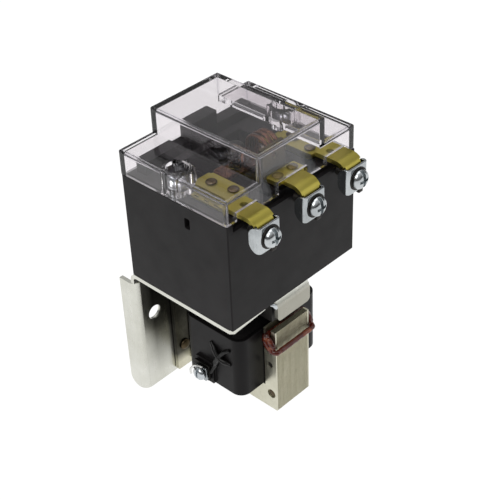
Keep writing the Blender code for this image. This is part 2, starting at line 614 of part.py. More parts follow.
# ---------------------------------------------------------- terminal straps
RIVETS = {
    "left": [(-19.8, -6.4), (-18.3, -15.0)],
    "centre": [(-3.6, -20.1), (3.6, -20.1)],
    "right": [(19.8, -6.4), (18.3, -15.0)],
}
for side in ("left", "centre", "right"):
    x, z = TERM_X[side], STRAP_Z[side]
    half = STRAP_W / 2
    tip = CLAMP_Z[side] - 5.0
    inner_end = -19.2 if side == "centre" else -17.0
    strap = prism("terminal_strap_" + side, "brass", "x", (x - half, x + half),
                  strip([(inner_end, z), (STRAP_Y, z), (STRAP_Y, tip)], 4.0, STRAP_T, 7))
    if side == "centre":
        join(strap, cbox((-6.8, 6.8), (-23.8, -17.6), (z - STRAP_T / 2, z + STRAP_T / 2),
                         0.6, 2, vertical))
    else:
        s = -1 if side == "left" else 1
        join(strap, cbox((min(s * 23.8, s * 15.2), max(s * 23.8, s * 15.2)),
                         (-18.2, -2.4), (z - STRAP_T / 2, z + STRAP_T / 2),
                         0.8, 2, vertical))
        cut(strap, crod("z", (s * 21.3, -21.4, z), 1.35, 6.0, 16))
    cut(strap,
        crod("y", (x, STRAP_Y, CLAMP_Z[side]), 2.3, 6.0, 20),
        *[cbox((x + t * 4.2 - 0.4, x + t * 4.2 + 0.4), (-36, -30), (5.0, CLAMP_Z[side] + 5.1))
          for t in (-1, 1)],
        *[crod("z", (u, v, z), 1.45, 6.0, 16) for u, v in RIVETS[side]])

# lower contact plate, under the left strap, with a finger down into the chamber
lower = prism("contact_plate_left", "brass", "y", (-6.6, 0.6),
              strip([(-20.8, 21.8), (-13.6, 21.8), (-13.6, 14.35), (-7.4, 14.35)],
                    1.0, 0.9, 3))
join(lower, cbox((-25.6, -15.4), (-17.0, -3.0), (21.4, 22.2), 0.5, 1, vertical))
cut(lower,
    *[cbox((-25.2, -24.5), (v, v + 2.4), (20, 24)) for v in (-6.4, -10.9, -15.4)],
    *[crod("z", (u, v, 22.0), 1.45, 6.0, 16) for u, v in RIVETS["left"]],
    crod("z", (-10.2, -3.0, 14.3), 1.1, 4.0, 12))

# upper contact finger, over the right end of the moving bar
upper = prism("contact_plate_right", "brass", "y", (-6.6, 0.6),
              strip([(20.8, 21.8), (14.5, 21.8), (13.0, 25.95), (7.0, 25.95)],
                    [0, 1.0, 1.0, 0], 0.9, 3))
join(upper, cbox((15.6, 25.6), (-17.0, -3.0), (21.4, 22.2), 0.5, 1, vertical))
cut(upper,
    *[crod("z", (u, v, 22.0), 1.45, 6.0, 16) for u, v in RIVETS["right"]],
    crod("z", (10.2, -3.0, 25.8), 1.1, 4.0, 12))

# riser that carries the fixed end of the braid
riser = prism("braid_riser", "brass", "x", (-6.0, 5.0),
              strip([(-22.0, 23.2), (-15.4, 23.2), (-15.4, 33.2)],
                    1.0, 1.0, 3))
cut(riser, *[crod("z", (u, v, 23.4), 1.45, 5.0, 16) for u, v in RIVETS["centre"]],
    crod("y", (-0.5, -15.4, 30.4), 1.2, 4.0, 12))

for side in ("left", "centre", "right"):
    z = STRAP_Z[side]
    top = z + STRAP_T / 2 + GAP
    depth = {"left": 3.0, "right": 3.0, "centre": 3.1}[side]
    for i, (u, v) in enumerate(RIVETS[side]):
        turned("strap_rivet_%s_%d" % (side, i + 1), "brass", "z", 1, (u, v, top),
               [(0, 0.8), (1.3, 0.65), (2.0, 0.25), (2.0, 0), (1.12, 0),
                (1.12, -depth), (0, -depth)], 12)

# --------------------------------------------- clamps, screws and their nuts
for side in ("left", "centre", "right"):
    x, z = TERM_X[side], CLAMP_Z[side]
    y0 = STRAP_Y - STRAP_T / 2                     # front of the strap's leg
    clamp = prism("terminal_clamp_" + side, "zinc", "z", (z - 4.8, z + 4.8),
                  strip([(x - 4.8, y0 + 3.4), (x - 4.8, y0 - 0.85), (x + 4.8, y0 - 0.85),
                         (x + 4.8, y0 + 3.4)], 1.0, 0.9, 3))
    cut(clamp, crod("y", (x, y0 - 1.0, z), 2.3, 6.0, 20),
        *[cprism("x", (x + t * 4.8 - 2.0, x + t * 4.8 + 2.0),
                 [(y0 + 5.0, z + w * 6.0), (y0 - 0.2, z + w * 6.0)]
                 + [(y0 - 0.2 + 3.7 * math.sin(math.radians(a)),
                     z + w * (1.0 + 3.9 * math.cos(math.radians(a))))
                    for a in range(0, 91, 15)]
                 + [(y0 + 5.0, z + w * 1.0)])
          for t in (-1, 1) for w in (-1, 1)])
    head = y0 - 1.3 - GAP
    screw = turned("terminal_screw_" + side, "zinc", "y", -1, (x, head, z),
                   [(0, 2.6), (1.9, 2.45), (3.0, 1.9), (3.55, 0.9), (3.6, 0.0),
                    (1.95, 0), (1.95, -8.6), (1.3, -9.4), (0, -9.4)], 24)
    cut(screw,
        cbox((x - 0.65, x + 0.65), (head - 6.0, head - 1.2), (z - 5, z + 5)),
        cbox((x - 2.1, x + 2.1), (head - 6.0, head - 1.2), (z - 0.55, z + 0.55)))
    rear = STRAP_Y + STRAP_T / 2 + 0.5
    nut = prism("terminal_nut_" + side, "zinc", "y", (rear, rear + 2.4),
                [(x + 3.5 * math.cos(math.radians(60 * k)),
                  z + 3.5 * math.sin(math.radians(60 * k))) for k in range(6)])
    cut(nut, crod("y", (x, rear + 1.2, z), 2.3, 6.0, 14))

# ---------------------------------------------------- armature and carrier
arm_y = (-21.2, 17.0)
STEM_Y = -2.5
armature = box("armature", "lamination", (-8.6, 8.6), arm_y, (-33.3, -24.8), 0.4, 1)
cut(armature, cbox((-3.3, 3.3), (STEM_Y - 3.3, STEM_Y + 3.3), (-40, -20)),
    crod("x", (0, STEM_Y, -29.2), 1.55, 30.0, 16))
rod("armature_pin", "zinc", "x", (0, STEM_Y, -29.2), 1.2, 17.6, 16, 0.2)

carrier = box("contact_carrier", "nylon", (-5.2, 5.2), (STEM_Y - 5.2, STEM_Y + 5.2),
              (-24.4, 16.0), 0.6, 1, vertical)
join(carrier,
     cbox((-2.9, 2.9), (STEM_Y - 2.9, STEM_Y + 2.9), (-32.6, -23.0)),
     cbox((-12.9, 12.9), (STEM_Y - 3.6, STEM_Y + 3.6), (1.8, 5.0), 0.5, 1),
     cbox((-6.4, 6.4), (STEM_Y - 5.2, STEM_Y + 6.4), (13.6, 20.3), 0.6, 1))
cut(carrier, crod("x", (0, STEM_Y, -29.2), 1.55, 30.0, 16),
    crod("z", (-4.2, -3.0, 19.0), 1.5, 8.0, 14),
    cbox((-1.6, 1.6), (-12, 8), (7.0, 11.0)))
PIN_X = -4.2
turned("contact_pin", "zinc", "z", 1, (PIN_X, -3.0, 29.4),
       [(0, 1.0), (2.1, 0.9), (2.6, 0.4), (2.6, 0), (1.15, 0), (1.15, -13.4),
        (0.8, -13.8), (0, -13.8)], 16)

bar = box("moving_contact_bar", "copper", (-12.6, 12.6), (-6.5, 0.5), (20.6, 22.2),
          0.8, 2, vertical)
cut(bar, crod("z", (PIN_X, -3.0, 21.4), 1.6, 5.0, 16))
rod("contact_tip_bar_lower", "silver", "z", (-10.2, -3.0, 19.8), 2.0, 1.0, 18, 0.25)
rod("contact_tip_bar_upper", "silver", "z", (10.2, -3.0, 23.0), 2.0, 1.0, 18, 0.25)
rod("contact_tip_open", "silver", "z", (-10.2, -3.0, 15.84), 2.0, 1.4, 18, 0.25)
rod("contact_tip_closed", "silver", "z", (10.2, -3.0, 24.4), 2.0, 1.6, 18, 0.25)

# laminated braid: up from the riser, over, and down onto the bar
braid = prism("contact_braid", "copper", "x", (-1.4, 5.4),
              strip([(-14.0, 27.0), (-14.0, 33.6), (-4.4, 33.6), (-4.4, 23.15), (0.2, 23.15)],
                    [0, 4.4, 4.4, 1.0, 0], 1.1, 6))

wire("contact_spring", "spring",
     coil_points(PIN_X, -3.0, 22.85, 28.75, 1.9, 4.5, 10), 0.3, False, 1)
for side, s in (("left", -1), ("right", 1)):
    wire("return_spring_" + side, "spring",
         coil_points(s * 9.4, STEM_Y, -8.2, 1.0, 2.6, 5.0, 10), 0.42, False, 1)
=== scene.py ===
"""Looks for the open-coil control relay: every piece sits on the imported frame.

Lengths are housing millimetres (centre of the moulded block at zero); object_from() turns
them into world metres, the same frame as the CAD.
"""
import json
import math

import bmesh
import bpy
from mathutils import Matrix, Vector, noise


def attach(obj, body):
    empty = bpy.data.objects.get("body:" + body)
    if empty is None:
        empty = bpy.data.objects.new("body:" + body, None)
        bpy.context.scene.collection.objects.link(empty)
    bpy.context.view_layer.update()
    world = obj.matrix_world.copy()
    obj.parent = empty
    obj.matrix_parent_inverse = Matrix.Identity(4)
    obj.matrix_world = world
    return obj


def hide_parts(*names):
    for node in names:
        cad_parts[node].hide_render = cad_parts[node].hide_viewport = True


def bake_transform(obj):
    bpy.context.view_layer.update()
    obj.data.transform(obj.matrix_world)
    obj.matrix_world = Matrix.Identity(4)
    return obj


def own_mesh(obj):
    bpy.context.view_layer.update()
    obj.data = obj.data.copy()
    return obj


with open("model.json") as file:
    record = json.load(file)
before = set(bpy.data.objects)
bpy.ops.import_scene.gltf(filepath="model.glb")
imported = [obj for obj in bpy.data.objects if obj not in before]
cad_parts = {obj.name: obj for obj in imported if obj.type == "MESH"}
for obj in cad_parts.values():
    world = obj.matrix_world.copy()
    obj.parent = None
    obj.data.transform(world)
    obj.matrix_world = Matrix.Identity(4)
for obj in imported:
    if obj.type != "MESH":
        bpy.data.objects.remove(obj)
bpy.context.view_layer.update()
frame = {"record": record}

MM = 0.001
DY, DZ = -26.5, 44.0                     # housing axes to world, millimetres
scene = bpy.context.scene


# ------------------------------------------------------------------ materials
class Graph:
    """A small helper for building node trees."""

    def __init__(self, name):
        self.mat = bpy.data.materials.new(name)
        self.mat.use_nodes = True
        self.tree = self.mat.node_tree
        self.tree.nodes.clear()
        self.out = self.add("ShaderNodeOutputMaterial")
        coord = self.add("ShaderNodeTexCoord")
        self.coord = coord.outputs["Object"]

    def add(self, kind, **values):
        node = self.tree.nodes.new(kind)
        for key, value in values.items():
            setattr(node, key, value)
        return node

    def link(self, a, b):
        self.tree.links.new(a, b)

    def stretch(self, scale, rotation=(0, 0, 0), location=(0, 0, 0)):
        node = self.add("ShaderNodeMapping")
        node.inputs["Scale"].default_value = scale
        node.inputs["Rotation"].default_value = rotation
        node.inputs["Location"].default_value = location
        self.link(self.coord, node.inputs["Vector"])
        return node.outputs["Vector"]

    def noise(self, scale, detail=4.0, rough=0.55, vector=None, distortion=0.0):
        node = self.add("ShaderNodeTexNoise")
        node.inputs["Scale"].default_value = scale
        node.inputs["Detail"].default_value = detail
        node.inputs["Roughness"].default_value = rough
        node.inputs["Distortion"].default_value = distortion
        self.link(vector if vector is not None else self.coord, node.inputs["Vector"])
        return node.outputs["Fac"]

    def voronoi(self, scale, vector=None, feature="F1"):
        node = self.add("ShaderNodeTexVoronoi", feature=feature)
        node.inputs["Scale"].default_value = scale
        self.link(vector if vector is not None else self.coord, node.inputs["Vector"])
        return node.outputs["Distance"]

    def ramp(self, fac, stops, interpolation="LINEAR"):
        node = self.add("ShaderNodeValToRGB")
        node.color_ramp.interpolation = interpolation
        while len(node.color_ramp.elements) < len(stops):
            node.color_ramp.elements.new(0.5)
        for element, (at, colour) in zip(node.color_ramp.elements, stops):
            element.position = at
            if not isinstance(colour, (tuple, list)):
                colour = (colour, colour, colour)
            element.color = (*colour, 1.0)
        self.link(fac, node.inputs["Fac"])
        return node.outputs["Color"]

    def span(self, fac, lo, hi, at0=0.3, at1=0.7):
        node = self.add("ShaderNodeMapRange")
        node.inputs["From Min"].default_value = at0
        node.inputs["From Max"].default_value = at1
        node.inputs["To Min"].default_value = lo
        node.inputs["To Max"].default_value = hi
        self.link(fac, node.inputs["Value"])
        return node.outputs["Result"]

    def mix(self, a, b, fac, blend="MIX"):
        node = self.add("ShaderNodeMix", data_type="RGBA", blend_type=blend)
        for socket, value in ((node.inputs["Factor"], fac), (node.inputs["A"], a),
                              (node.inputs["B"], b)):
            pass
        colour = [s for s in node.inputs if s.type == "RGBA"]
        factor = node.inputs[0]
        if isinstance(fac, (int, float)):
            factor.default_value = fac
        else:
            self.link(fac, factor)
        for socket, value in ((colour[0], a), (colour[1], b)):
            if isinstance(value, (tuple, list)):
                socket.default_value = (*value, 1.0)
            else:
                self.link(value, socket)
        return [s for s in node.outputs if s.type == "RGBA"][0]

    def bump(self, height, strength, distance, normal=None):
        node = self.add("ShaderNodeBump")
        node.inputs["Strength"].default_value = strength
        node.inputs["Distance"].default_value = distance
        self.link(height, node.inputs["Height"])
        if normal is not None:
            self.link(normal, node.inputs["Normal"])
        return node.outputs["Normal"]

    def surface(self, colour, rough, normal=None, **fixed):
        node = self.add("ShaderNodeBsdfPrincipled")
        for key, value in fixed.items():
            node.inputs[key.replace("_", " ")].default_value = value
        for name, value in (("Base Color", colour), ("Roughness", rough)):
            if isinstance(value, (tuple, list)):
                node.inputs[name].default_value = (*value, 1.0)
            elif isinstance(value, (int, float)):
                node.inputs[name].default_value = value
            else:
                self.link(value, node.inputs[name])
        if normal is not None:
            self.link(normal, node.inputs["Normal"])
        self.link(node.outputs["BSDF"], self.out.inputs["Surface"])
        return node


def phenolic(name, tone=1.0, rough=0.42, spec=0.13):
    g = Graph(name)
    broad = g.noise(38.0, 3.0, 0.5)
    grain = g.noise(2600.0, 3.0, 0.6)
    colour = g.ramp(broad, [(0.30, (0.0085 * tone, 0.0078 * tone, 0.0082 * tone)),
                            (0.72, (0.0130 * tone, 0.0118 * tone, 0.0123 * tone))])
    dust = g.ramp(g.noise(900.0, 6.0, 0.7), [(0.64, 0.0), (0.78, 1.0)])
    colour = g.mix(colour, (0.045, 0.042, 0.042), g.span(dust, 0.0, 0.20, 0.0, 1.0))
    roughness = g.span(g.noise(120.0, 5.0, 0.6), rough - 0.05, rough + 0.08)
    normal = g.bump(grain, 0.10, 0.00004)
    normal = g.bump(broad, 0.05, 0.0004, normal)
    g.surface(colour, roughness, normal, Specular_IOR_Level=spec)
    return g.mat


def clear_plastic(name):
    """Clear moulding; along the edges where two walls meet its tint is painted deeper,
    a painted shade standing for the longer, bent light path through the plastic there."""
    g = Graph(name)
    ripple = g.noise(70.0, 2.0, 0.4)
    fine = g.noise(900.0, 2.0, 0.5)
    split = g.add("ShaderNodeSeparateXYZ")
    g.link(g.coord, split.inputs["Vector"])

    def math_node(operation, a, b=None):
        node = g.add("ShaderNodeMath", operation=operation)
        for socket, value in zip(node.inputs, (a, b)):
            if isinstance(value, (int, float)):
                socket.default_value = value
            elif value is not None:
                g.link(value, socket)
        return node.outputs[0]

    def near(value, far, close):
        return g.span(value, 0.0, 1.0, far * MM, close * MM)

    x = math_node("ABSOLUTE", split.outputs["X"])
    y = math_node("ABSOLUTE", math_node("SUBTRACT", split.outputs["Y"], -26.15 * MM))
    z = split.outputs["Z"]
    side = near(x, 29.9, 31.0)
    ends = near(y, 23.0, 24.1)
    low_top = math_node("MULTIPLY", near(z, 72.8, 73.9), near(z, 75.4, 74.9))
    step = math_node("MULTIPLY", near(x, 14.5, 15.5), near(z, 74.6, 75.2))
    high_top = near(z, 82.4, 83.5)
    low_sides = math_node("MULTIPLY", side, near(z, 75.4, 74.9))
    painted_edge_shade = math_node("MULTIPLY", low_sides, ends)
    for a, b in ((low_sides, low_top), (math_node("MULTIPLY", ends, near(x, 16.0, 16.6)), low_top),
                 (step, ends), (step, high_top), (ends, high_top)):
        painted_edge_shade = math_node("MAXIMUM", painted_edge_shade, math_node("MULTIPLY", a, b))
    tint = g.ramp(g.noise(30.0, 2.0, 0.5), [(0.3, (0.908, 0.886, 0.902)),
                                            (0.7, (0.925, 0.905, 0.918))])
    # painted shade: the tint darkens along the wall edges
    tint = g.mix(tint, (0.66, 0.635, 0.685), painted_edge_shade)
    scuff = g.noise(420.0, 6.0, 0.75, g.stretch((1.0, 0.22, 1.0), (0, 0, 0.6)))
    rough = g.span(scuff, 0.004, 0.016, 0.55, 0.80)
    rough = math_node("ADD", rough, math_node("MULTIPLY", painted_edge_shade, 0.22))
    normal = g.bump(ripple, 0.03, 0.0006)
    normal = g.bump(fine, 0.008, 0.00004, normal)
    shader = g.surface(tint, rough, normal, Transmission_Weight=1.0, IOR=1.46,
                       Specular_IOR_Level=0.30)
    path = g.add("ShaderNodeLightPath")
    through = g.add("ShaderNodeBsdfTransparent")
    through.inputs["Color"].default_value = (0.90, 0.88, 0.91, 1.0)
    mixer = g.add("ShaderNodeMixShader")
    g.link(path.outputs["Is Shadow Ray"], mixer.inputs["Fac"])
    g.link(shader.outputs["BSDF"], mixer.inputs[1])
    g.link(through.outputs["BSDF"], mixer.inputs[2])
    g.link(mixer.outputs["Shader"], g.out.inputs["Surface"])
    return g.mat


def metal(name, dark, light, rough, grain_scale=(1.0, 1.0, 1.0), scale=600.0,
          grain=0.25, spots=None, edge=None, spread=0.10, bump=0.12, shade=None,
          patch=0.20):
    """Plated or bare metal: broad tone changes, a directional grain, small dark
    spots and brighter worn patches."""
    g = Graph(name)
    broad = g.noise(55.0, 4.0, 0.6)
    line = g.noise(scale, 4.0, 0.6, g.stretch(grain_scale))
    colour = g.ramp(broad, [(0.28, dark), (0.72, light)])
    mid = tuple(0.5 * (a + b) for a, b in zip(dark, light))
    low = tuple(0.72 * c for c in mid)
    colour = g.mix(colour, low, g.span(line, 0.0, grain, 0.50, 0.80))
    if spots:
        speck = g.ramp(g.noise(1500.0, 4.0, 0.7), [(0.60, 0.0), (0.70, 1.0)])
        colour = g.mix(colour, spots, g.span(speck, 0.0, patch * 1.3, 0.0, 1.0))
    if edge:
        worn = g.ramp(g.noise(240.0, 6.0, 0.75), [(0.56, 0.0), (0.70, 1.0)])
        colour = g.mix(colour, edge, g.span(worn, 0.0, patch, 0.0, 1.0))
    if shade:
        colour = shade(g, colour)
    roughness = g.span(line, rough - spread * 0.5, rough + spread, 0.3, 0.8)
    normal = g.bump(line, bump, 0.00005)
    g.surface(colour, roughness, normal, Metallic=1.0)
    return g.mat


def painted_shade_patch(x_span, y_span, z_span, tone):
    """Painted shade on an upright sheet, in world millimetres: a darker tone standing for shadow
    and dark reflection, deepening toward the middle and across z_span, between the two planes of
    y_span."""
    def shade(g, colour):
        split = g.add("ShaderNodeSeparateXYZ")
        g.link(g.coord, split.inputs["Vector"])
        size = g.add("ShaderNodeMath", operation="ABSOLUTE")
        g.link(split.outputs["X"], size.inputs[0])
        total = g.span(size.outputs[0], 0.0, 1.0, x_span[0] * MM, x_span[1] * MM)
        for source, a, b in ((split.outputs["Y"], y_span[0] * MM, (y_span[0] + 0.6) * MM),
                             (split.outputs["Y"], y_span[1] * MM, (y_span[1] - 0.6) * MM),
                             (split.outputs["Z"], z_span[0] * MM, z_span[1] * MM)):
            part = g.span(source, 0.0, 1.0, a, b)
            times = g.add("ShaderNodeMath", operation="MULTIPLY")
            g.link(total, times.inputs[0])
            g.link(part, times.inputs[1])
            total = times.outputs[0]
        # the painted shade is broken up a little by noise
        cloud = g.span(g.noise(90.0, 5.0, 0.65), 0.88, 1.0)
        times = g.add("ShaderNodeMath", operation="MULTIPLY")
        g.link(total, times.inputs[0])
        g.link(cloud, times.inputs[1])
        return g.mix(colour, tone, times.outputs[0])
    return shade


def both(first, second):
    """Two shadings of one colour, one after the other."""
    return lambda g, colour: second(g, first(g, colour))


def varnish(name):
    g = Graph(name)
    flow = g.noise(210.0, 4.0, 0.55, None, 0.8)
    colour = g.ramp(flow, [(0.25, (0.026, 0.0025, 0.0018)), (0.54, (0.080, 0.008, 0.003)),
                           (0.76, (0.330, 0.085, 0.022))])
    rough = g.span(g.noise(700.0, 3.0, 0.5), 0.12, 0.28)
    normal = g.bump(g.noise(380.0, 3.0, 0.5), 0.35, 0.00012)
    g.surface(colour, rough, normal, Coat_Weight=0.25, Coat_Roughness=0.10,
              Specular_IOR_Level=0.35)
    return g.mat


def copper(name, dark=(0.050, 0.024, 0.017), light=(0.215, 0.098, 0.062), rough=0.30):
    g = Graph(name)
    broad = g.noise(160.0, 5.0, 0.65, None, 0.4)
    fine = g.noise(1800.0, 3.0, 0.6)
    colour = g.ramp(broad, [(0.30, dark), (0.68, light)])
    stain = g.ramp(g.noise(420.0, 5.0, 0.7), [(0.55, 0.0), (0.72, 1.0)])
    colour = g.mix(colour, (0.060, 0.028, 0.020), g.span(stain, 0.0, 0.5, 0.0, 1.0))
    g.surface(colour, g.span(fine, rough - 0.08, rough + 0.12),
              g.bump(fine, 0.15, 0.00003), Metallic=1.0)
    return g.mat


def make_material(kind, name):
    name = "m_" + name
    if kind == "phenolic":
        return phenolic(name)
    if kind == "coil_black":
        return phenolic(name, 0.7, 0.32, 0.12)
    if kind == "sleeve":
        return phenolic(name, 0.35, 0.30, 0.22)
    if kind == "nylon":
        return phenolic(name, 1.2, 0.48, 0.14)
    if kind == "clear":
        return clear_plastic(name)
    if kind == "brass":
        return metal(name, (0.335, 0.285, 0.055), (0.430, 0.370, 0.085), 0.33,
                     (1.0, 0.25, 1.0), 900.0, 0.02, (0.16, 0.12, 0.03),
                     (0.50, 0.45, 0.15), 0.02, 0.002, patch=0.03)
    if kind == "rivet":
        return metal(name, (0.050, 0.038, 0.024), (0.120, 0.090, 0.050), 0.42,
                     (1.0, 1.0, 1.0), 900.0, 0.30)
    if kind == "dull_brass":
        return metal(name, (0.050, 0.038, 0.018), (0.095, 0.072, 0.032), 0.34,
                     (1.0, 0.25, 1.0), 900.0, 0.16, None, (0.22, 0.18, 0.06), patch=0.10)
    # zinc darkened as painted shade, for clamps, screws and washers whose faces turn from the
    # light
    if kind == "zinc_painted_shade":
        return metal(name, (0.28, 0.30, 0.31), (0.56, 0.59, 0.60), 0.20,
                     (1.0, 1.0, 0.35), 500.0, 0.45, (0.10, 0.10, 0.10),
                     (0.72, 0.74, 0.75))
    if kind == "zinc":
        return metal(name, (0.47, 0.50, 0.52), (0.68, 0.71, 0.73), 0.20,
                     (1.0, 1.0, 0.35), 700.0, 0.22, (0.30, 0.30, 0.28),
                     (0.80, 0.82, 0.83))
    if kind == "plated_sheet":
        return metal(name, (0.570, 0.570, 0.505), (0.720, 0.720, 0.665), 0.30,
                     (1.0, 1.0, 0.10), 520.0, 0.20, (0.34, 0.33, 0.27),
                     (0.74, 0.74, 0.69),
                     # painted shade: the rear plate darkens toward the middle and upward as a
                     # painted dark reflection of the coil and housing, and the front tab's lower
                     # face is darkened as painted shade
                     shade=both(painted_shade_patch((31.0, 24.0), (-3.2, -0.6), (-31.0, -7.0),
                                       (0.026, 0.026, 0.021)),
                                painted_shade_patch((9.6, 8.7), (-75.0, -44.0), (21.4, 18.0),
                                       (0.335, 0.325, 0.275))))
    if kind == "core_plate":
        return metal(name, (0.460, 0.440, 0.330), (0.600, 0.580, 0.460), 0.30,
                     (1.0, 1.0, 0.10), 520.0, 0.20, (0.34, 0.33, 0.27),
                     # painted shade: the plate's upper part is darkened where the coil jacket
                     # shades it
                     (0.74, 0.74, 0.69), shade=painted_shade_patch((19.0, 16.2), (-10.0, 5.0),
                                                      (-29.5, -25.0),
                                                      (0.014, 0.013, 0.012)))
    if kind == "lamination":
        return metal(name, (0.470, 0.445, 0.310), (0.590, 0.560, 0.415), 0.40,
                     (1.0, 1.0, 0.55), 900.0, 0.40, (0.22, 0.20, 0.13),
                     (0.56, 0.55, 0.45), 0.16, 0.2)
    if kind == "core_side":
        return metal(name, (0.520, 0.505, 0.395), (0.660, 0.645, 0.530), 0.36,
                     (1.0, 1.0, 0.6), 800.0, 0.30, (0.26, 0.24, 0.17),
                     (0.72, 0.71, 0.62), 0.12, 0.12)
    # dark steel; on the armature, screw threads, clamp tongues and core hole discs its darkness is
    # also painted shade
    if kind == "blackened_and_shade":
        return metal(name, (0.020, 0.019, 0.018), (0.050, 0.047, 0.043), 0.50,
                     (2.2, 2.2, 0.09), 620.0, 0.40, None, (0.10, 0.095, 0.085))
    if kind == "copper":
        return copper(name)
    if kind == "spring":
        return metal(name, (0.42, 0.43, 0.44), (0.62, 0.63, 0.64), 0.22,
                     (1, 1, 1), 900.0, 0.2)
    if kind == "tinned":
        return metal(name, (0.62, 0.62, 0.60), (0.82, 0.82, 0.80), 0.26,
                     (1, 1, 1), 1100.0, 0.2)
    if kind == "silver":
        return metal(name, (0.62, 0.61, 0.58), (0.78, 0.77, 0.74), 0.24,
                     (1, 1, 1), 1200.0, 0.25, (0.34, 0.32, 0.29))
    if kind == "varnish":
        return varnish(name)
    raise ValueError(kind)


# ------------------------------------------------------------ building pieces
BODY_OF = {n: b for b, ns in frame["record"]["behaviour"]["bodies"].items() for n in ns}
WORK = []


def put(ob, kind, node=None, stands_for=(), bevel=0.0, segments=2, body=None,
        angle=30.0, share=None, held=True):
    """A finished object: its own material, its CAD body and what it stands for."""
    scene.collection.objects.link(ob) if ob.name not in scene.collection.objects else None
    ob.data.materials.clear()
    ob.data.materials.append(share or make_material(kind, ob.name))
    if len(ob.data.polygons):
        ob.data.shade_smooth()
    if bevel:
        mod = ob.modifiers.new("edge", "BEVEL")
        mod.width = bevel * MM
        mod.segments = segments
        mod.limit_method = "ANGLE"
        mod.angle_limit = math.radians(angle)
        mod.use_clamp_overlap = True
        mod.miter_outer = "MITER_ARC"
    mod = ob.modifiers.new("shade", "WEIGHTED_NORMAL")
    mod.keep_sharp = True
    mod.weight = 80
    if held:
        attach(ob, body or BODY_OF[node])
    if node or stands_for:
        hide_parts(*([node] if node else []), *stands_for)
    return ob


def object_from(bm, name):
    """A bmesh in housing millimetres as an object in world metres, at the origin."""
    bm.transform(Matrix.Scale(MM, 4) @ Matrix.Translation((0.0, DY, DZ)))
    bmesh.ops.recalc_face_normals(bm, faces=bm.faces)
    mesh = bpy.data.meshes.new(name)
    bm.to_mesh(mesh)
    bm.free()
    return bpy.data.objects.new(name, mesh)


AXES = {"x": Vector((1, 0, 0)), "y": Vector((0, 1, 0)), "z": Vector((0, 0, 1))}


def box_bm(x, y, z, bevel=0.0, segments=3, keep=None):
    bm = bmesh.new()
    size = Vector((x[1] - x[0], y[1] - y[0], z[1] - z[0]))
    mid = Vector(((x[0] + x[1]) / 2, (y[0] + y[1]) / 2, (z[0] + z[1]) / 2))
    bmesh.ops.create_cube(bm, size=1.0, matrix=Matrix.Translation(mid)
                          @ Matrix.Diagonal((*size, 1.0)))
    if bevel:
        chosen = []
        for e in bm.edges:
            d = (e.verts[1].co - e.verts[0].co).normalized()
            m = (e.verts[0].co + e.verts[1].co) / 2 - mid
            along = max("xyz", key=lambda a: abs(d.dot(AXES[a])))
            if keep is None or keep(along, m):
                chosen.append(e)
        bmesh.ops.bevel(bm, geom=chosen, offset=bevel, offset_type="OFFSET",
                        segments=segments, profile=0.5, affect="EDGES")
    return bm


def turn(axis):
    return {"x": Matrix.Rotation(math.radians(90), 4, "Y"),
            "y": Matrix.Rotation(math.radians(-90), 4, "X"),
            "z": Matrix.Identity(4)}[axis]


def rod_bm(axis, centre, r, length, sides=40, chamfer=0.0, r2=None):
    bm = bmesh.new()
    bmesh.ops.create_cone(bm, cap_ends=True, segments=sides, radius1=r,
                          radius2=r if r2 is None else r2, depth=length,
                          matrix=Matrix.Translation(Vector(centre)) @ turn(axis))
    if chamfer:
        rims = [e for e in bm.edges if any(len(f.verts) > 4 for f in e.link_faces)]
        bmesh.ops.bevel(bm, geom=rims, offset=chamfer, offset_type="OFFSET",
                        segments=3, profile=0.5, affect="EDGES")
    return bm


def outline_bm(points, half):
    curve = bpy.data.curves.new("outline", "CURVE")
    curve.dimensions = "2D"
    curve.fill_mode = "BOTH"
    curve.extrude = half
    spline = curve.splines.new("POLY")
    spline.points.add(len(points) - 1)
    for point, (u, v) in zip(spline.points, points):
        point.co = (u, v, 0.0, 1.0)
    spline.use_cyclic_u = True
    ob = bpy.data.objects.new("outline", curve)
    scene.collection.objects.link(ob)
    graph = bpy.context.evaluated_depsgraph_get()
    graph.update()
    mesh = bpy.data.meshes.new_from_object(ob.evaluated_get(graph))
    bm = bmesh.new()
    bm.from_mesh(mesh)
    bmesh.ops.remove_doubles(bm, verts=bm.verts, dist=0.0005)
    bmesh.ops.dissolve_limit(bm, angle_limit=math.radians(0.5), verts=bm.verts,
                             edges=bm.edges)
    bpy.data.objects.remove(ob, do_unlink=True)
    bpy.data.meshes.remove(mesh)
    bpy.data.curves.remove(curve)
    return bm


def prism_bm(axis, span, points):
    lo, hi = span
    bm = outline_bm(points, (hi - lo) / 2)
    mid = (lo + hi) / 2
    bm.transform({
        "x": Matrix(((0, 0, 1, mid), (1, 0, 0, 0), (0, 1, 0, 0), (0, 0, 0, 1))),
        "y": Matrix(((1, 0, 0, 0), (0, 0, -1, mid), (0, 1, 0, 0), (0, 0, 0, 1))),
        "z": Matrix.Translation((0, 0, mid))}[axis])
    return bm


def arc(cu, cv, r, a0, a1, n):
    return [(cu + r * math.cos(math.radians(a0 + (a1 - a0) * i / n)),
             cv + r * math.sin(math.radians(a0 + (a1 - a0) * i / n)))
            for i in range(n + 1)]


def rounded(u, v, r, n=8):
    pts = []
    for cu, cv, a in ((u[1] - r, v[0] + r, -90), (u[1] - r, v[1] - r, 0),
                      (u[0] + r, v[1] - r, 90), (u[0] + r, v[0] + r, 180)):
        pts += arc(cu, cv, r, a, a + 90, n)
    return pts


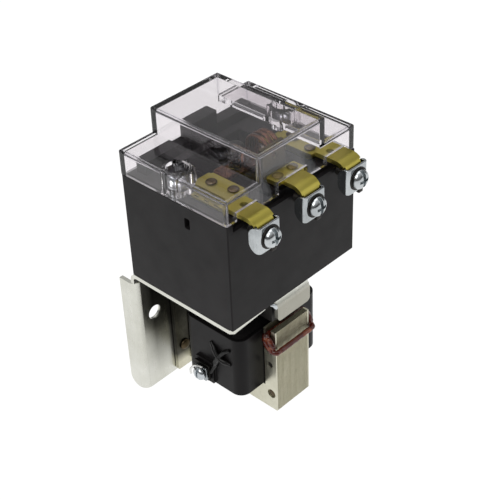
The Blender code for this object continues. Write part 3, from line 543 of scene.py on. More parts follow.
def centre_line(path, radius, n):
    radii = radius if isinstance(radius, (list, tuple)) else [radius] * len(path)
    line = [Vector(path[0])]
    for i in range(1, len(path) - 1):
        a, b, c = (Vector(path[i - 1]), Vector(path[i]), Vector(path[i + 1]))
        d0, d1 = (b - a).normalized(), (c - b).normalized()
        bend = d0.angle(d1)
        cut_back = radii[i] * math.tan(bend / 2)
        start = b - d0 * cut_back
        side = 1.0 if d0.x * d1.y - d0.y * d1.x > 0 else -1.0
        normal = Vector((-d0.y, d0.x)) * side
        centre = start + normal * radii[i]
        for k in range(n + 1):
            t = bend * k / n * side
            arm = start - centre
            line.append(centre + Vector((arm.x * math.cos(t) - arm.y * math.sin(t),
                                         arm.x * math.sin(t) + arm.y * math.cos(t))))
    line.append(Vector(path[-1]))
    return line


def strip(path, radius, thick, n=10):
    line = centre_line(path, radius, n)
    left, right = [], []
    for i, p in enumerate(line):
        d = (line[min(i + 1, len(line) - 1)] - line[max(i - 1, 0)]).normalized()
        normal = Vector((-d.y, d.x)) * thick / 2
        left.append(tuple(p + normal))
        right.append(tuple(p - normal))
    return left + right[::-1]


def solid(name, base, add=(), sub=()):
    """Joins and cuts bmeshes with exact booleans and returns the cleaned object."""
    ob = object_from(base, name)
    scene.collection.objects.link(ob)
    helpers = []
    for operation, items in (("UNION", add), ("DIFFERENCE", sub)):
        for item in items:
            tool = object_from(item, "tool")
            scene.collection.objects.link(tool)
            tool.hide_render = True
            helpers.append(tool)
            mod = ob.modifiers.new("b", "BOOLEAN")
            mod.operation, mod.solver, mod.object = operation, "EXACT", tool
    if helpers:
        graph = bpy.context.evaluated_depsgraph_get()
        graph.update()
        mesh = bpy.data.meshes.new_from_object(ob.evaluated_get(graph))
        ob.modifiers.clear()
        old = ob.data
        ob.data = mesh
        bpy.data.meshes.remove(old)
        mesh.name = name
        for tool in helpers:
            data = tool.data
            bpy.data.objects.remove(tool, do_unlink=True)
            bpy.data.meshes.remove(data)
    bm = bmesh.new()
    bm.from_mesh(ob.data)
    bmesh.ops.remove_doubles(bm, verts=bm.verts, dist=2e-6)
    bmesh.ops.dissolve_degenerate(bm, edges=bm.edges, dist=2e-6)
    bmesh.ops.dissolve_limit(bm, angle_limit=math.radians(0.3), verts=bm.verts,
                             edges=bm.edges, use_dissolve_boundaries=False)
    bmesh.ops.recalc_face_normals(bm, faces=bm.faces)
    bm.to_mesh(ob.data)
    bm.free()
    return ob


def turned_bm(axis, sign, centre, profile, steps=48):
    """A turned solid from (radius, height) pairs, top of the axis first."""
    bm = bmesh.new()
    rings = []
    for r, h in profile:
        if r < 1e-9:
            rings.append([bm.verts.new((0, 0, h))])
        else:
            rings.append([bm.verts.new((r * math.cos(2 * math.pi * i / steps),
                                        r * math.sin(2 * math.pi * i / steps), h))
                          for i in range(steps)])
    for a, b in zip(rings, rings[1:]):
        for i in range(steps):
            j = (i + 1) % steps
            if len(a) == 1:
                bm.faces.new((a[0], b[i], b[j]))
            elif len(b) == 1:
                bm.faces.new((a[j], a[i], b[0]))
            else:
                bm.faces.new((a[i], b[i], b[j], a[j]))
    flip = {("z", 1): Matrix.Identity(4), ("z", -1): Matrix.Rotation(math.pi, 4, "X"),
            ("y", 1): Matrix.Rotation(-math.pi / 2, 4, "X"),
            ("y", -1): Matrix.Rotation(math.pi / 2, 4, "X"),
            ("x", 1): Matrix.Rotation(math.pi / 2, 4, "Y"),
            ("x", -1): Matrix.Rotation(-math.pi / 2, 4, "Y")}[(axis, sign)]
    bm.transform(Matrix.Translation(Vector(centre)) @ flip)
    bmesh.ops.recalc_face_normals(bm, faces=bm.faces)
    return bm


def smooth_profile(points, n=4):
    """Rounds the outer run of a profile with a Catmull-Rom pass."""
    out = []
    for i in range(len(points) - 1):
        p0 = points[max(i - 1, 0)]
        p1, p2 = points[i], points[i + 1]
        p3 = points[min(i + 2, len(points) - 1)]
        for k in range(n):
            t = k / n
            out.append(tuple(
                0.5 * (2 * b + (c - a) * t + (2 * a - 5 * b + 4 * c - d) * t * t
                       + (3 * b - a - 3 * c + d) * t ** 3)
                for a, b, c, d in zip(p0, p1, p2, p3)))
    out.append(points[-1])
    return out


def tube_bm(points, r, cyclic=False, sides=16, scale=None, wobble=0.0, seed=0.0):
    """A round tube along 3D points with parallel-carried frames."""
    pts = [Vector(p) for p in points]
    n = len(pts)
    tangents = []
    for i in range(n):
        a = pts[(i - 1) % n] if cyclic else pts[max(i - 1, 0)]
        b = pts[(i + 1) % n] if cyclic else pts[min(i + 1, n - 1)]
        tangents.append((b - a).normalized())
    up = Vector((0, 0, 1)) if abs(tangents[0].z) < 0.9 else Vector((1, 0, 0))
    normal = (up - tangents[0] * up.dot(tangents[0])).normalized()
    frames = []
    for i in range(n):
        if i:
            axis = tangents[i - 1].cross(tangents[i])
            if axis.length > 1e-9:
                normal = Matrix.Rotation(tangents[i - 1].angle(tangents[i]), 3,
                                         axis.normalized()) @ normal
        frames.append((normal.copy(), tangents[i].cross(normal)))
    if cyclic:
        closing = normal.copy()
        axis = tangents[-1].cross(tangents[0])
        if axis.length > 1e-9:
            closing = Matrix.Rotation(tangents[-1].angle(tangents[0]), 3,
                                      axis.normalized()) @ closing
        twist = math.atan2(closing.dot(frames[0][1]), closing.dot(frames[0][0]))
    bm = bmesh.new()
    rings = []
    for i, p in enumerate(pts):
        a, b = frames[i]
        off = -twist * i / n if cyclic else 0.0
        rr = r * (scale(i / (n - 1)) if scale else 1.0)
        ring = []
        for k in range(sides):
            t = 2 * math.pi * k / sides + off
            q = rr
            if wobble:
                q *= 1 + wobble * noise.noise((p + (a * math.cos(t) + b * math.sin(t)) * rr)
                                              * 0.55 + Vector((seed, 0, 0)))
            ring.append(bm.verts.new(p + (a * math.cos(t) + b * math.sin(t)) * q))
        rings.append(ring)
    count = n if cyclic else n - 1
    for i in range(count):
        ra, rb = rings[i], rings[(i + 1) % n]
        for k in range(sides):
            m = (k + 1) % sides
            bm.faces.new((ra[k], ra[m], rb[m], rb[k]))
    if not cyclic:
        bm.faces.new(rings[0][::-1])
        bm.faces.new(rings[-1])
    return bm


def spline_points(points, per=6, cyclic=False):
    """Catmull-Rom through 3D points."""
    pts = [Vector(p) for p in points]
    n = len(pts)
    out = []
    for i in range(n if cyclic else n - 1):
        p0 = pts[(i - 1) % n] if cyclic else pts[max(i - 1, 0)]
        p1, p2 = pts[i], pts[(i + 1) % n]
        p3 = pts[(i + 2) % n] if cyclic else pts[min(i + 2, n - 1)]
        for k in range(per):
            t = k / per
            out.append(0.5 * (2 * p1 + (p2 - p0) * t + (2 * p0 - 5 * p1 + 4 * p2 - p3) * t * t
                              + (3 * p1 - p0 - 3 * p2 + p3) * t ** 3))
    if not cyclic:
        out.append(pts[-1])
    return out


def merged(*bms):
    """Several closed bmeshes as one."""
    out = bmesh.new()
    for bm in bms:
        mesh = bpy.data.meshes.new("t")
        bm.to_mesh(mesh)
        bm.free()
        out.from_mesh(mesh)
        bpy.data.meshes.remove(mesh)
    return out


vertical = lambda along, m: along == "z"

# ----------------------------------------------------------------- dimensions
BODY_W, BODY_D, BODY_H = 63.5, 49.8, 42.2
HX, HY, HZ = BODY_W / 2, BODY_D / 2, BODY_H / 2
SHEET, GAP = 1.6, 0.3
PLATE_FRONT_Y, FLANGE_Y = 24.9, 33.0
PLATE_REAR_Y = PLATE_FRONT_Y + SHEET
PLATE_BOTTOM_Z, FLANGE_TOP_Z = -78.0, -26.8
BASE_TOP_Z = -HZ - GAP
BASE_BOTTOM_Z = BASE_TOP_Z - SHEET
HOLE_X, HOLE_Z, HOLE_R = 23.4, -44.0, 3.0
TIER1_Z, TIER2_Z, TIER2_X, WALL = 30.7, 40.3, 16.3, 1.8
COVER_FRONT_Y, COVER_REAR_Y = -24.6, 25.3
WELL_X, WELL_Y, WELL_R = 26.3, 2.4, 5.0
STRAP_W, STRAP_T, STRAP_Y = 9.0, 1.6, -32.2
STRAP_Z = {"left": 23.3, "centre": 24.8, "right": 23.3}
CLAMP_Z = {"left": 17.4, "centre": 17.9, "right": 17.6}
TERM_X = {"left": -22.0, "centre": 0.0, "right": 22.0}
CORE_X = 9.0
CORE_FRONT_Y, CORE_REAR_Y = -23.0, 17.7
CORE_MID_Y = (CORE_FRONT_Y + CORE_REAR_Y) / 2
LEG = 5.7
POLE_Z, YOKE_Z, CORE_BOTTOM_Z = -37.4, -65.0, -75.1
COIL_X, COIL_FRONT_Y, COIL_REAR_Y = 21.2, -17.0, 11.7
COIL_TOP_Z, COIL_BOTTOM_Z = -38.2, -64.2
STEM_Y, PIN_X = -2.5, -4.2
TAB_Y, TAB_Z = 0.5, -59.0


# ------------------------------------------------------------------- housing
def housing():
    ob = solid(
        "contact_housing_moulding",
        box_bm((-HX, HX), (-HY, HY), (-HZ, HZ), 0.5, 5, vertical),
        add=[box_bm((-26.0, 26.0), (17.6, 22.6), (18.0, 25.0), 0.6, 3, vertical),
             box_bm((-5.0, 7.5), (17.2, 22.6), (17.0, 30.4), 0.6, 3, vertical),
             box_bm((-9.6, 9.6), (-21.8, -14.4), (18.0, 22.4), 0.5, 3, vertical)],
        sub=[box_bm((-29.2, 29.2), (-27.0, -23.1), (18.4, 24.0)),
             box_bm((-14.5, 14.5), (-14.0, 14.0), (-9.0, 24.0), 0.8, 3, vertical),
             box_bm((-6.0, 6.0), (-8.6, 3.6), (-24.0, -7.0), 0.6, 3, vertical),
             box_bm((-33.0, -29.4), (-7.5, -5.1), (12.6, 16.8), 0.6, 3,
                    lambda along, m: along == "x"),
             rod_bm("z", (-WELL_X, WELL_Y, 18.0), 1.9, 14.0, 32),
             rod_bm("z", (WELL_X, WELL_Y, 18.0), 1.9, 14.0, 32),
             rod_bm("z", (-24.0, -14.0, -18.0), 1.9, 12.0, 32),
             rod_bm("z", (24.0, 12.0, -18.0), 1.9, 12.0, 32)])
    put(ob, "phenolic", "contact_housing", bevel=0.22, segments=2)


def cover():
    above = lambda along, m: along == "z" or m.z > 1.0
    wells = [rod_bm("z", (s * WELL_X, WELL_Y, (21.7 + TIER1_Z) / 2 - 0.25), WELL_R,
                    TIER1_Z - 21.7 - 0.5, 56) for s in (-1, 1)]
    shell = solid(
        "clear_cover_shell",
        box_bm((-HX, HX), (COVER_FRONT_Y, COVER_REAR_Y), (HZ + GAP, TIER1_Z), 0.7, 6,
               above),
        add=[box_bm((-TIER2_X, TIER2_X), (COVER_FRONT_Y, COVER_REAR_Y), (26.0, TIER2_Z),
                    0.7, 6, above)],
        sub=[box_bm((-HX + WALL, HX - WALL), (COVER_FRONT_Y + WALL, COVER_REAR_Y - WALL),
                    (10.0, TIER1_Z - WALL), 0.4, 4, above),
             box_bm((-TIER2_X + WALL, TIER2_X - WALL),
                    (COVER_FRONT_Y + WALL, COVER_REAR_Y - WALL),
                    (12.0, TIER2_Z - WALL), 0.4, 4, above)])
    bm = bmesh.new()
    bm.from_mesh(shell.data)
    bm.transform(Matrix.Translation((0.0, -DY, -DZ)) @ Matrix.Scale(1 / MM, 4))
    bpy.data.objects.remove(shell, do_unlink=True)
    ribs = []
    for s in (-1, 1):
        for a in (35, 80, 125, 170, 215, 260, 305):
            u = s * (WELL_X + (WELL_R + 0.25) * math.cos(math.radians(a)))
            v = WELL_Y + (WELL_R + 0.25) * math.sin(math.radians(a))
            if abs(u) < HX - WALL - 0.2:
                ribs.append(rod_bm("z", (u, v, 26.0), 0.75, 7.4, 14))
    ob = solid(
        "clear_cover_moulding", bm, add=wells + ribs,
        sub=[rod_bm("z", (s * WELL_X, WELL_Y, 33.6), WELL_R - 1.1, 20.0, 56)
             for s in (-1, 1)]
            + [rod_bm("z", (s * WELL_X, WELL_Y, 22.0), 1.9, 8.0, 32) for s in (-1, 1)]
            + [box_bm((TERM_X["left"] - 4.9, TERM_X["left"] + 4.9), (-27.0, -21.0),
                      (10.0, 24.5)),
               box_bm((-7.15, 7.15), (-27.0, -21.0), (10.0, 26.0)),
               box_bm((TERM_X["right"] - 4.9, TERM_X["right"] + 4.9), (-27.0, -21.0),
                      (10.0, 24.5))])
    put(ob, "clear", "clear_cover", bevel=0.30, segments=3, angle=32)


def cover_screws():
    for side, s in (("left", -1), ("right", 1)):
        profile = [(0, 2.3), (0.9, 2.27), (1.8, 2.12), (2.6, 1.75), (3.1, 1.15),
                   (3.3, 0.5), (3.3, 0.12), (3.2, 0), (1.5, 0)]
        z = -0.6
        while z > -10.0:
            profile += [(1.5, z), (1.28, z - 0.25), (1.5, z - 0.5)]
            z -= 0.6
        profile += [(1.4, -10.4), (0.9, -11.2), (0, -11.2)]
        ob = solid("cover_screw_%s_turned" % side,
                   turned_bm("z", 1, (s * WELL_X, WELL_Y, 24.0), profile, 40),
                   sub=[box_bm((s * WELL_X - 0.45, s * WELL_X + 0.45),
                               (WELL_Y - 4, WELL_Y + 4), (25.2, 28.0))])
        put(ob, "zinc", "cover_screw_" + side, bevel=0.06, segments=1, angle=50)


# ------------------------------------------------------------------- bracket
def bracket():
    base_outline = [(-HX, -10.0), (-HX, -23.2), (-HX + 1.2, -24.5),
                    (-14.2, -23.5), (-14.0, -20.0), (-9.1, -20.0), (-9.1, -22.3),
                    (8.3, -22.3), (8.3, -20.0), (10.2, -20.0), (10.4, -22.6),
                    (HX - 1.2, -22.6), (HX, -21.4), (HX, -10.0)]
    corner = FLANGE_Y - 5.0
    bent = solid(
        "bracket_bent",
        prism_bm("x", (-HX, HX),
                 strip([(-18.0, BASE_TOP_Z - SHEET / 2),
                        (PLATE_FRONT_Y + SHEET / 2, BASE_TOP_Z - SHEET / 2),
                        (PLATE_FRONT_Y + SHEET / 2, PLATE_BOTTOM_Z)], 2.2, SHEET, 10)),
        sub=[box_bm((-HX - 1, -HX + 2.6), (PLATE_FRONT_Y - 0.6, 40.0),
                    (PLATE_BOTTOM_Z - 1.0, FLANGE_TOP_Z + 0.8)),
             box_bm((HX - 2.6, HX + 1), (PLATE_FRONT_Y - 0.6, 40.0),
                    (PLATE_BOTTOM_Z - 1.0, FLANGE_TOP_Z + 0.8)),
             box_bm((-40.0, 40.0), (-40.0, -17.6), (-30.0, -15.0))])
    bm = bmesh.new()
    bm.from_mesh(bent.data)
    bm.transform(Matrix.Translation((0.0, -DY, -DZ)) @ Matrix.Scale(1 / MM, 4))
    bpy.data.objects.remove(bent, do_unlink=True)
    ob = solid(
        "mounting_bracket_sheet", bm,
        add=[prism_bm("z", (PLATE_BOTTOM_Z, FLANGE_TOP_Z),
                      strip([(-HX + SHEET / 2, FLANGE_Y),
                             (-HX + SHEET / 2, PLATE_FRONT_Y + SHEET / 2),
                             (HX - SHEET / 2, PLATE_FRONT_Y + SHEET / 2),
                             (HX - SHEET / 2, FLANGE_Y)], 2.4, SHEET, 10)),
             prism_bm("z", (BASE_BOTTOM_Z, BASE_TOP_Z), base_outline),
             prism_bm("x", (-8.5, 8.5),
                      strip([(-17.0, BASE_TOP_Z - SHEET / 2 - 0.02),
                             (-23.4, BASE_TOP_Z - SHEET / 2 - 0.02), (-23.4, -31.7)],
                            4.2, SHEET, 12))],
        sub=[box_bm((-7.2, 7.2), (-9.6, 4.6), (-27.0, -15.0), 0.5, 2, vertical),
             rod_bm("y", (-HOLE_X, 25.7, HOLE_Z), HOLE_R, 6.0, 64),
             rod_bm("y", (HOLE_X, 25.7, HOLE_Z), HOLE_R, 6.0, 64),
             rod_bm("z", (-24.0, -14.0, -22.0), 1.9, 6.0, 32),
             rod_bm("z", (24.0, 12.0, -22.0), 1.9, 6.0, 32),
             rod_bm("y", (0.0, 25.7, -60.0), 1.9, 6.0, 32)]
            + [rod_bm("y", (s * 11.8, 25.7, -66.0), 1.5, 6.0, 28) for s in (-1, 1)]
            + [prism_bm("y", (-26.0, -21.0),
                        [(s * 8.6, -31.9), (s * 6.9, -31.9)]
                        + [(s * u, v) for u, v in arc(6.9, -30.1, 1.6, -90, 0, 8)]
                        + [(s * 8.6, -30.1)]) for s in (-1, 1)]
            + [prism_bm("x", (s * HX - 4.0, s * HX + 4.0),
                        [(FLANGE_Y + 0.2, PLATE_BOTTOM_Z - 0.2),
                         (corner, PLATE_BOTTOM_Z - 0.2)]
                        + arc(FLANGE_Y - 4.2, PLATE_BOTTOM_Z + 4.2, 4.2, -90, 0, 10)
                        + [(FLANGE_Y + 0.2, PLATE_BOTTOM_Z + 4.2)]) for s in (-1, 1)])
    put(ob, "plated_sheet", "mounting_bracket", bevel=0.16, segments=2, angle=38)
    # sheared burr that curls up beside the tab
    burr = tube_bm(spline_points([(-8.7, -23.3, -26.2), (-9.2, -23.7, -24.9),
                                  (-9.9, -23.5, -23.7), (-10.9, -23.0, -23.1)], 7),
                   0.72, False, 16, wobble=0.15,
                   scale=lambda t: 0.75 + 0.35 * math.sin(math.pi * t))
    ob = object_from(burr, "bracket_burr_left")
    put(ob, "zinc", None, body=BODY_OF["mounting_bracket"])
    for side, x, y in (("left", -24.0, -14.0), ("right", 24.0, 12.0)):
        ob = solid("housing_screw_%s_turned" % side,
                   turned_bm("z", -1, (x, y, BASE_BOTTOM_Z - GAP),
                             [(0, 2.0), (1.0, 1.97), (2.0, 1.8), (2.7, 1.3), (3.0, 0.6),
                              (3.0, 0.1), (2.9, 0), (1.5, 0), (1.5, -8.0), (0.8, -8.8),
                              (0, -8.8)], 36),
                   sub=[box_bm((x - 0.4, x + 0.4), (y - 4, y + 4),
                               (BASE_BOTTOM_Z - 5.0, BASE_BOTTOM_Z - GAP - 1.0))])
        put(ob, "zinc", "housing_screw_" + side, bevel=0.06, segments=1, angle=50)


# --------------------------------------------------------------- fixed iron
def core_parts():
    ob = solid("rear_core_plate_sheet",
               box_bm((-15.8, 15.8), (23.0, 24.6), (-77.0, -24.0), 0.6, 4,
                      lambda along, m: along == "y"),
               sub=[rod_bm("y", (0, 23.8, -60.0), 1.9, 6.0, 32)]
                   + [rod_bm("y", (s * 11.8, 23.8, -66.0), 1.5, 6.0, 28)
                      for s in (-1, 1)])
    put(ob, "core_plate", "rear_core_plate", bevel=0.12, segments=2)
    ob = solid("core_mount_block_milled",
               box_bm((-CORE_X, CORE_X), (18.0, 22.7), (CORE_BOTTOM_Z, -48.4)),
               sub=[rod_bm("y", (0, 20.3, -60.0), 1.9, 8.0, 32)])
    put(ob, "plated_sheet", "core_mount_block", bevel=0.35, segments=3)
    for s, name in ((-1, "left"), (1, "right")):
        ob = solid("plate_rivet_%s_turned" % name,
                   turned_bm("y", -1, (s * 11.8, 23.0 - GAP, -66.0),
                             smooth_profile([(0, 1.1), (0.8, 1.06), (1.6, 0.85),
                                             (2.2, 0.45), (2.3, 0.1)], 3)
                             + [(2.3, 0), (1.15, 0), (1.15, -3.6), (0, -3.6)], 32))
        put(ob, "rivet", "plate_rivet_" + name)
    z = -60.0
    ob = solid("core_screw_turned",
               turned_bm("y", 1, (0, PLATE_REAR_Y + GAP, z),
                         [(0, 2.0), (1.0, 1.97), (2.0, 1.8), (2.7, 1.3), (3.0, 0.6),
                          (3.0, 0.1), (2.9, 0), (1.5, 0), (1.5, -7.6), (0.9, -8.2),
                          (0, -8.2)], 36),
               sub=[box_bm((-4, 4), (PLATE_REAR_Y + GAP + 1.0, PLATE_REAR_Y + 5.0),
                           (z - 0.4, z + 0.4))])
    put(ob, "zinc", "core_screw", bevel=0.06, segments=1, angle=50)

    front = (CORE_FRONT_Y + LEG, CORE_MID_Y - LEG)
    rear = (CORE_MID_Y + LEG, CORE_REAR_Y - LEG)
    slot_f, slot_r, depth = (-20.7, -18.1), (12.8, 15.4), POLE_Z - 3.4

    def sheet(dy, dz):
        """One lamination's outline: an E with a shading slot in each outer pole."""
        fy, ry, bz, pz = CORE_FRONT_Y + dy, CORE_REAR_Y - dy, CORE_BOTTOM_Z + dz, POLE_Z - dz
        return [(fy, bz), (ry, bz), (ry, pz), (slot_r[1], pz), (slot_r[1], depth),
                (slot_r[0], depth), (slot_r[0], pz), (rear[1], pz), (rear[1], YOKE_Z),
                (rear[0], YOKE_Z), (rear[0], pz), (front[1], pz), (front[1], YOKE_Z),
                (front[0], YOKE_Z), (front[0], pz), (slot_f[1], pz), (slot_f[1], depth),
                (slot_f[0], depth), (slot_f[0], pz), (fy, pz)]

    count = 28
    step = 2 * CORE_X / count
    sheets = []
    for i in range(1, count - 1):
        shift = 0.03 * noise.noise(Vector((i * 3.7, 1.3, 0.0))) + 0.02
        x0 = -CORE_X + i * step
        sheets.append(prism_bm("x", (x0 + 0.015, x0 + step - 0.015),
                               sheet(abs(shift), abs(shift) * 0.6)))
    stack = object_from(merged(*sheets), "core_laminations")
    outer = []
    for i in (0, count - 1):
        x0 = -CORE_X + i * step
        s = -1 if i == 0 else 1
        holes = [rod_bm("x", (s * CORE_X, -20.3, -68.0), 1.9, 4.0, 36),
                 rod_bm("x", (s * CORE_X, 14.8, -68.0), 1.9, 4.0, 36),
                 rod_bm("x", (s * CORE_X, -20.0, -53.9), 1.25, 4.0, 28)]
        piece = solid("core_side_" + ("left" if s < 0 else "right"),
                      prism_bm("x", (x0 + 0.015, x0 + step - (0.015 if s < 0 else 0.0)),
                               sheet(0.0, 0.0)), sub=holes)
        outer.append(piece)
    share = make_material("lamination", "core_laminations")
    put(stack, None, "core_stack", share=share)
    for piece in outer:
        put(piece, "core_side", None, bevel=0.08, segments=2, body=BODY_OF["core_stack"])
    for s, side in ((-1, "left"), (1, "right")):
        # a dark disc set inside each small hole: painted shade of the hole's depth
        shade_disc = object_from(rod_bm("x", (s * (CORE_X - 0.52), -20.0, -53.9), 1.2, 0.2, 28),
                           "core_hole_painted_shade_" + side)
        put(shade_disc, "blackened_and_shade", None, body=BODY_OF["core_stack"])
    for name, y in (("front", -20.3), ("rear", 14.8)):
        profile = [(0, 8.80), (0.9, 8.76), (1.4, 8.62), (1.62, 8.40), (1.62, -8.40),
                   (1.4, -8.62), (0.9, -8.76), (0, -8.80)]
        put(solid("core_rivet_%s_turned" % name,
                  turned_bm("x", 1, (0, y, -68.0), profile, 36)),
            "rivet", "core_rivet_" + name)


def shading_loop(front, slot, sign):
    low, high = -45.4, POLE_Z - 2.15
    side = CORE_X + 1.75
    right = [(side - 2.2, front, low), (side - 0.7, front + sign * 0.35, low + 0.15),
             (side, front + sign * 1.9, low + 0.6),
             (side + 0.42, front + sign * 3.4, low + 3.2),
             (side + 0.1, slot - sign * 0.3, high - 0.9), (side - 1.5, slot, high)]
    pts = [(0.0, front, low), (side * 0.5, front, low)] + right
    pts += [(3.0, slot, high), (-3.0, slot, high)]
    pts += [(-x, y, z) for x, y, z in right[::-1]]
    pts += [(-side * 0.5, front, low)]
    return spline_points(pts, 7, True)


def shading_rings():
    for name, front, slot, sign in (("front", CORE_FRONT_Y - 1.35, -19.4, 1),
                                    ("rear", CORE_REAR_Y + 1.35, 14.1, -1)):
        ob = solid("shading_ring_%s_wire" % name,
                   tube_bm(shading_loop(front, slot, sign), 1.0, True, 18,
                           wobble=0.16, seed=4.0 + sign))
        put(ob, "varnish", "shading_ring_" + name)
    # varnish that has run together beside the front pole
    for k, side in ((-1, "left"), (1, "right")):
        lump = bmesh.new()
        bmesh.ops.create_icosphere(lump, subdivisions=4, radius=1.0)
        for v in lump.verts:
            v.co *= 1.0 + 0.16 * noise.noise(v.co * 2.1 + Vector((k * 3.0, 1.0, 0.5)))
        lump.transform(Matrix.Translation((k * 10.25, -20.7, -42.4))
                       @ Matrix.Rotation(math.radians(-32), 4, "X")
                       @ Matrix.Diagonal((1.35, 2.60, 3.9, 1.0)))
        ob = object_from(lump, "shading_ring_varnish_" + side)
        put(ob, "varnish", None, body=BODY_OF["shading_ring_front"])


# ---------------------------------------------------------------------- coil
def coil():
    tube_x = (-CORE_X - 0.4, CORE_X + 0.4)
    tube_y = (CORE_MID_Y - LEG - 0.4, CORE_MID_Y + LEG + 0.4)
    boss = [box_bm((s * COIL_X - 1.2, s * COIL_X + 1.2), (TAB_Y - 4.2, TAB_Y + 4.6),
                   (-63.8, -54.2)) for s in (-1, 1)]
    ob = solid(
        "coil_jacket_moulding",
        prism_bm("z", (COIL_BOTTOM_Z, COIL_TOP_Z),
                 rounded((-COIL_X, COIL_X), (COIL_FRONT_Y, COIL_REAR_Y), 4.4, 12)),
        add=boss,
        sub=[prism_bm("z", (COIL_BOTTOM_Z - 2, COIL_TOP_Z + 2),
                      rounded((-COIL_X + 1.6, COIL_X - 1.6),
                              (COIL_FRONT_Y + 1.6, COIL_REAR_Y - 1.6), 3.0, 8))]
            + [rod_bm("x", (s * COIL_X, TAB_Y, TAB_Z), 1.8, 8.0, 32) for s in (-1, 1)])
    put(ob, "coil_black", "coil_jacket", bevel=0.4, segments=3, angle=40)

    flange = ((-COIL_X + 1.95, COIL_X - 1.95), (COIL_FRONT_Y + 1.95, COIL_REAR_Y - 1.95))
    ob = solid(
        "coil_bobbin_moulding",
        prism_bm("z", (COIL_BOTTOM_Z + 0.3, COIL_TOP_Z - 0.4),
                 rounded((tube_x[0] - 1.2, tube_x[1] + 1.2),
                         (tube_y[0] - 1.2, tube_y[1] + 1.2), 1.4, 6)),
        add=[prism_bm("z", (COIL_BOTTOM_Z + 0.4, COIL_BOTTOM_Z + 1.6),
                      rounded(*flange, 2.7, 8)),
             prism_bm("z", (COIL_TOP_Z - 1.7, COIL_TOP_Z - 0.5), rounded(*flange, 2.7, 8))],
        sub=[prism_bm("z", (COIL_BOTTOM_Z - 3, COIL_TOP_Z + 3),
                      rounded(tube_x, tube_y, 0.4, 3))])
    put(ob, "nylon", "coil_bobbin", bevel=0.12, segments=2)

    # winding: the outside shows its layers of wire
    z0, z1 = COIL_BOTTOM_Z + 1.95, COIL_TOP_Z - 2.05
    rows = 44
    rings = []
    bm = bmesh.new()
    for k in range(rows * 4 + 1):
        t = k / 4
        z = z0 + (z1 - z0) * k / (rows * 4)
        swell = -0.12 * abs(math.cos(math.pi * t))
        x0, y0 = COIL_X - 2.6 + swell, swell
        ring = [bm.verts.new((u, v, z)) for u, v in
                rounded((-x0, x0), (COIL_FRONT_Y + 2.6 - y0, COIL_REAR_Y - 2.6 + y0), 2.4, 5)]
        rings.append(ring)
    for a, b in zip(rings, rings[1:]):
        for i in range(len(a)):
            j = (i + 1) % len(a)
            bm.faces.new((a[i], a[j], b[j], b[i]))
    inner = [[bm.verts.new((u, v, z)) for u, v in
              rounded((tube_x[0] - 1.55, tube_x[1] + 1.55),
                      (tube_y[0] - 1.55, tube_y[1] + 1.55), 1.6, 5)] for z in (z0, z1)]
    for i in range(len(inner[0])):
        j = (i + 1) % len(inner[0])
        bm.faces.new((inner[0][j], inner[0][i], inner[1][i], inner[1][j]))
        bm.faces.new((rings[0][j], rings[0][i], inner[0][i], inner[0][j]))
        bm.faces.new((rings[-1][i], rings[-1][j], inner[1][j], inner[1][i]))
    ob = object_from(bm, "coil_winding_wire")
    put(ob, "copper", "coil_winding")

    for side, s in (("left", -1), ("right", 1)):
        face = s * (COIL_X + 1.2)
        order = lambda a, b: (min(a, b), max(a, b))
        ob = solid("coil_tab_%s_strip" % side,
                   box_bm(order(face + s * 0.3, face + s * 1.1), (TAB_Y - 3.2, TAB_Y + 4.4),
                          (-62.4, -55.4), 0.5, 3, lambda along, m: along == "x"),
                   sub=[rod_bm("x", (face + s, TAB_Y, TAB_Z), 1.8, 6.0, 32)])
        put(ob, "blackened_and_shade", "coil_tab_" + side, bevel=0.08)
        ob = solid("coil_clamp_%s_washer" % side,
                   box_bm(order(face + s * 1.4, face + s * 2.3),
                          (TAB_Y - 2.9, TAB_Y + 2.9), (TAB_Z - 2.9, TAB_Z + 2.9), 0.7, 4,
                          lambda along, m: along == "x"),
                   sub=[rod_bm("x", (face + s * 2, TAB_Y, TAB_Z), 1.8, 6.0, 32)])
        put(ob, "zinc_painted_shade", "coil_clamp_" + side, bevel=0.12)
        ob = solid("coil_screw_%s_turned" % side,
                   turned_bm("x", s, (face + s * 2.6, TAB_Y, TAB_Z),
                             [(0, 2.0), (0.9, 1.96), (1.7, 1.75), (2.3, 1.35), (2.65, 0.8),
                              (2.7, 0.2), (2.6, 0), (1.45, 0), (1.45, -4.6), (0.9, -5.2),
                              (0, -5.2)], 44),
                   sub=[box_bm(order(face + s * 3.5, face + s * 8.0),
                               (TAB_Y - 0.45, TAB_Y + 0.45), (TAB_Z - 4, TAB_Z + 4))])
        put(ob, "zinc", "coil_screw_" + side, bevel=0.07, segments=1, angle=50)
        # crossed sleeved leads on the jacket's face, one of them run to the tab
        runs = [[(21.2, -11.9, -43.6), (21.9, -9.6, -45.6), (22.1, -7.4, -48.2),
                 (22.0, -5.6, -51.4), (21.9, -4.4, -54.2), (22.2, -3.2, -57.0),
                 (22.9, -2.6, -58.6)],
                [(21.2, -2.4, -44.4), (21.9, -4.6, -46.6), (22.3, -6.8, -48.6),
                 (22.1, -9.2, -49.8), (21.3, -12.2, -50.4)]]
        lead = merged(*[tube_bm(spline_points([(s * u, v, w) for u, v, w in run], 6), 0.95,
                                False, 16, wobble=0.32, seed=s + 5.0 * k,
                                scale=lambda t: 0.62 + 0.5 * math.sin(math.pi * t))
                        for k, run in enumerate(runs)])
        ob = object_from(lead, "coil_lead_%s_sleeve" % side)
        put(ob, "sleeve", None, body=BODY_OF["coil_jacket"])
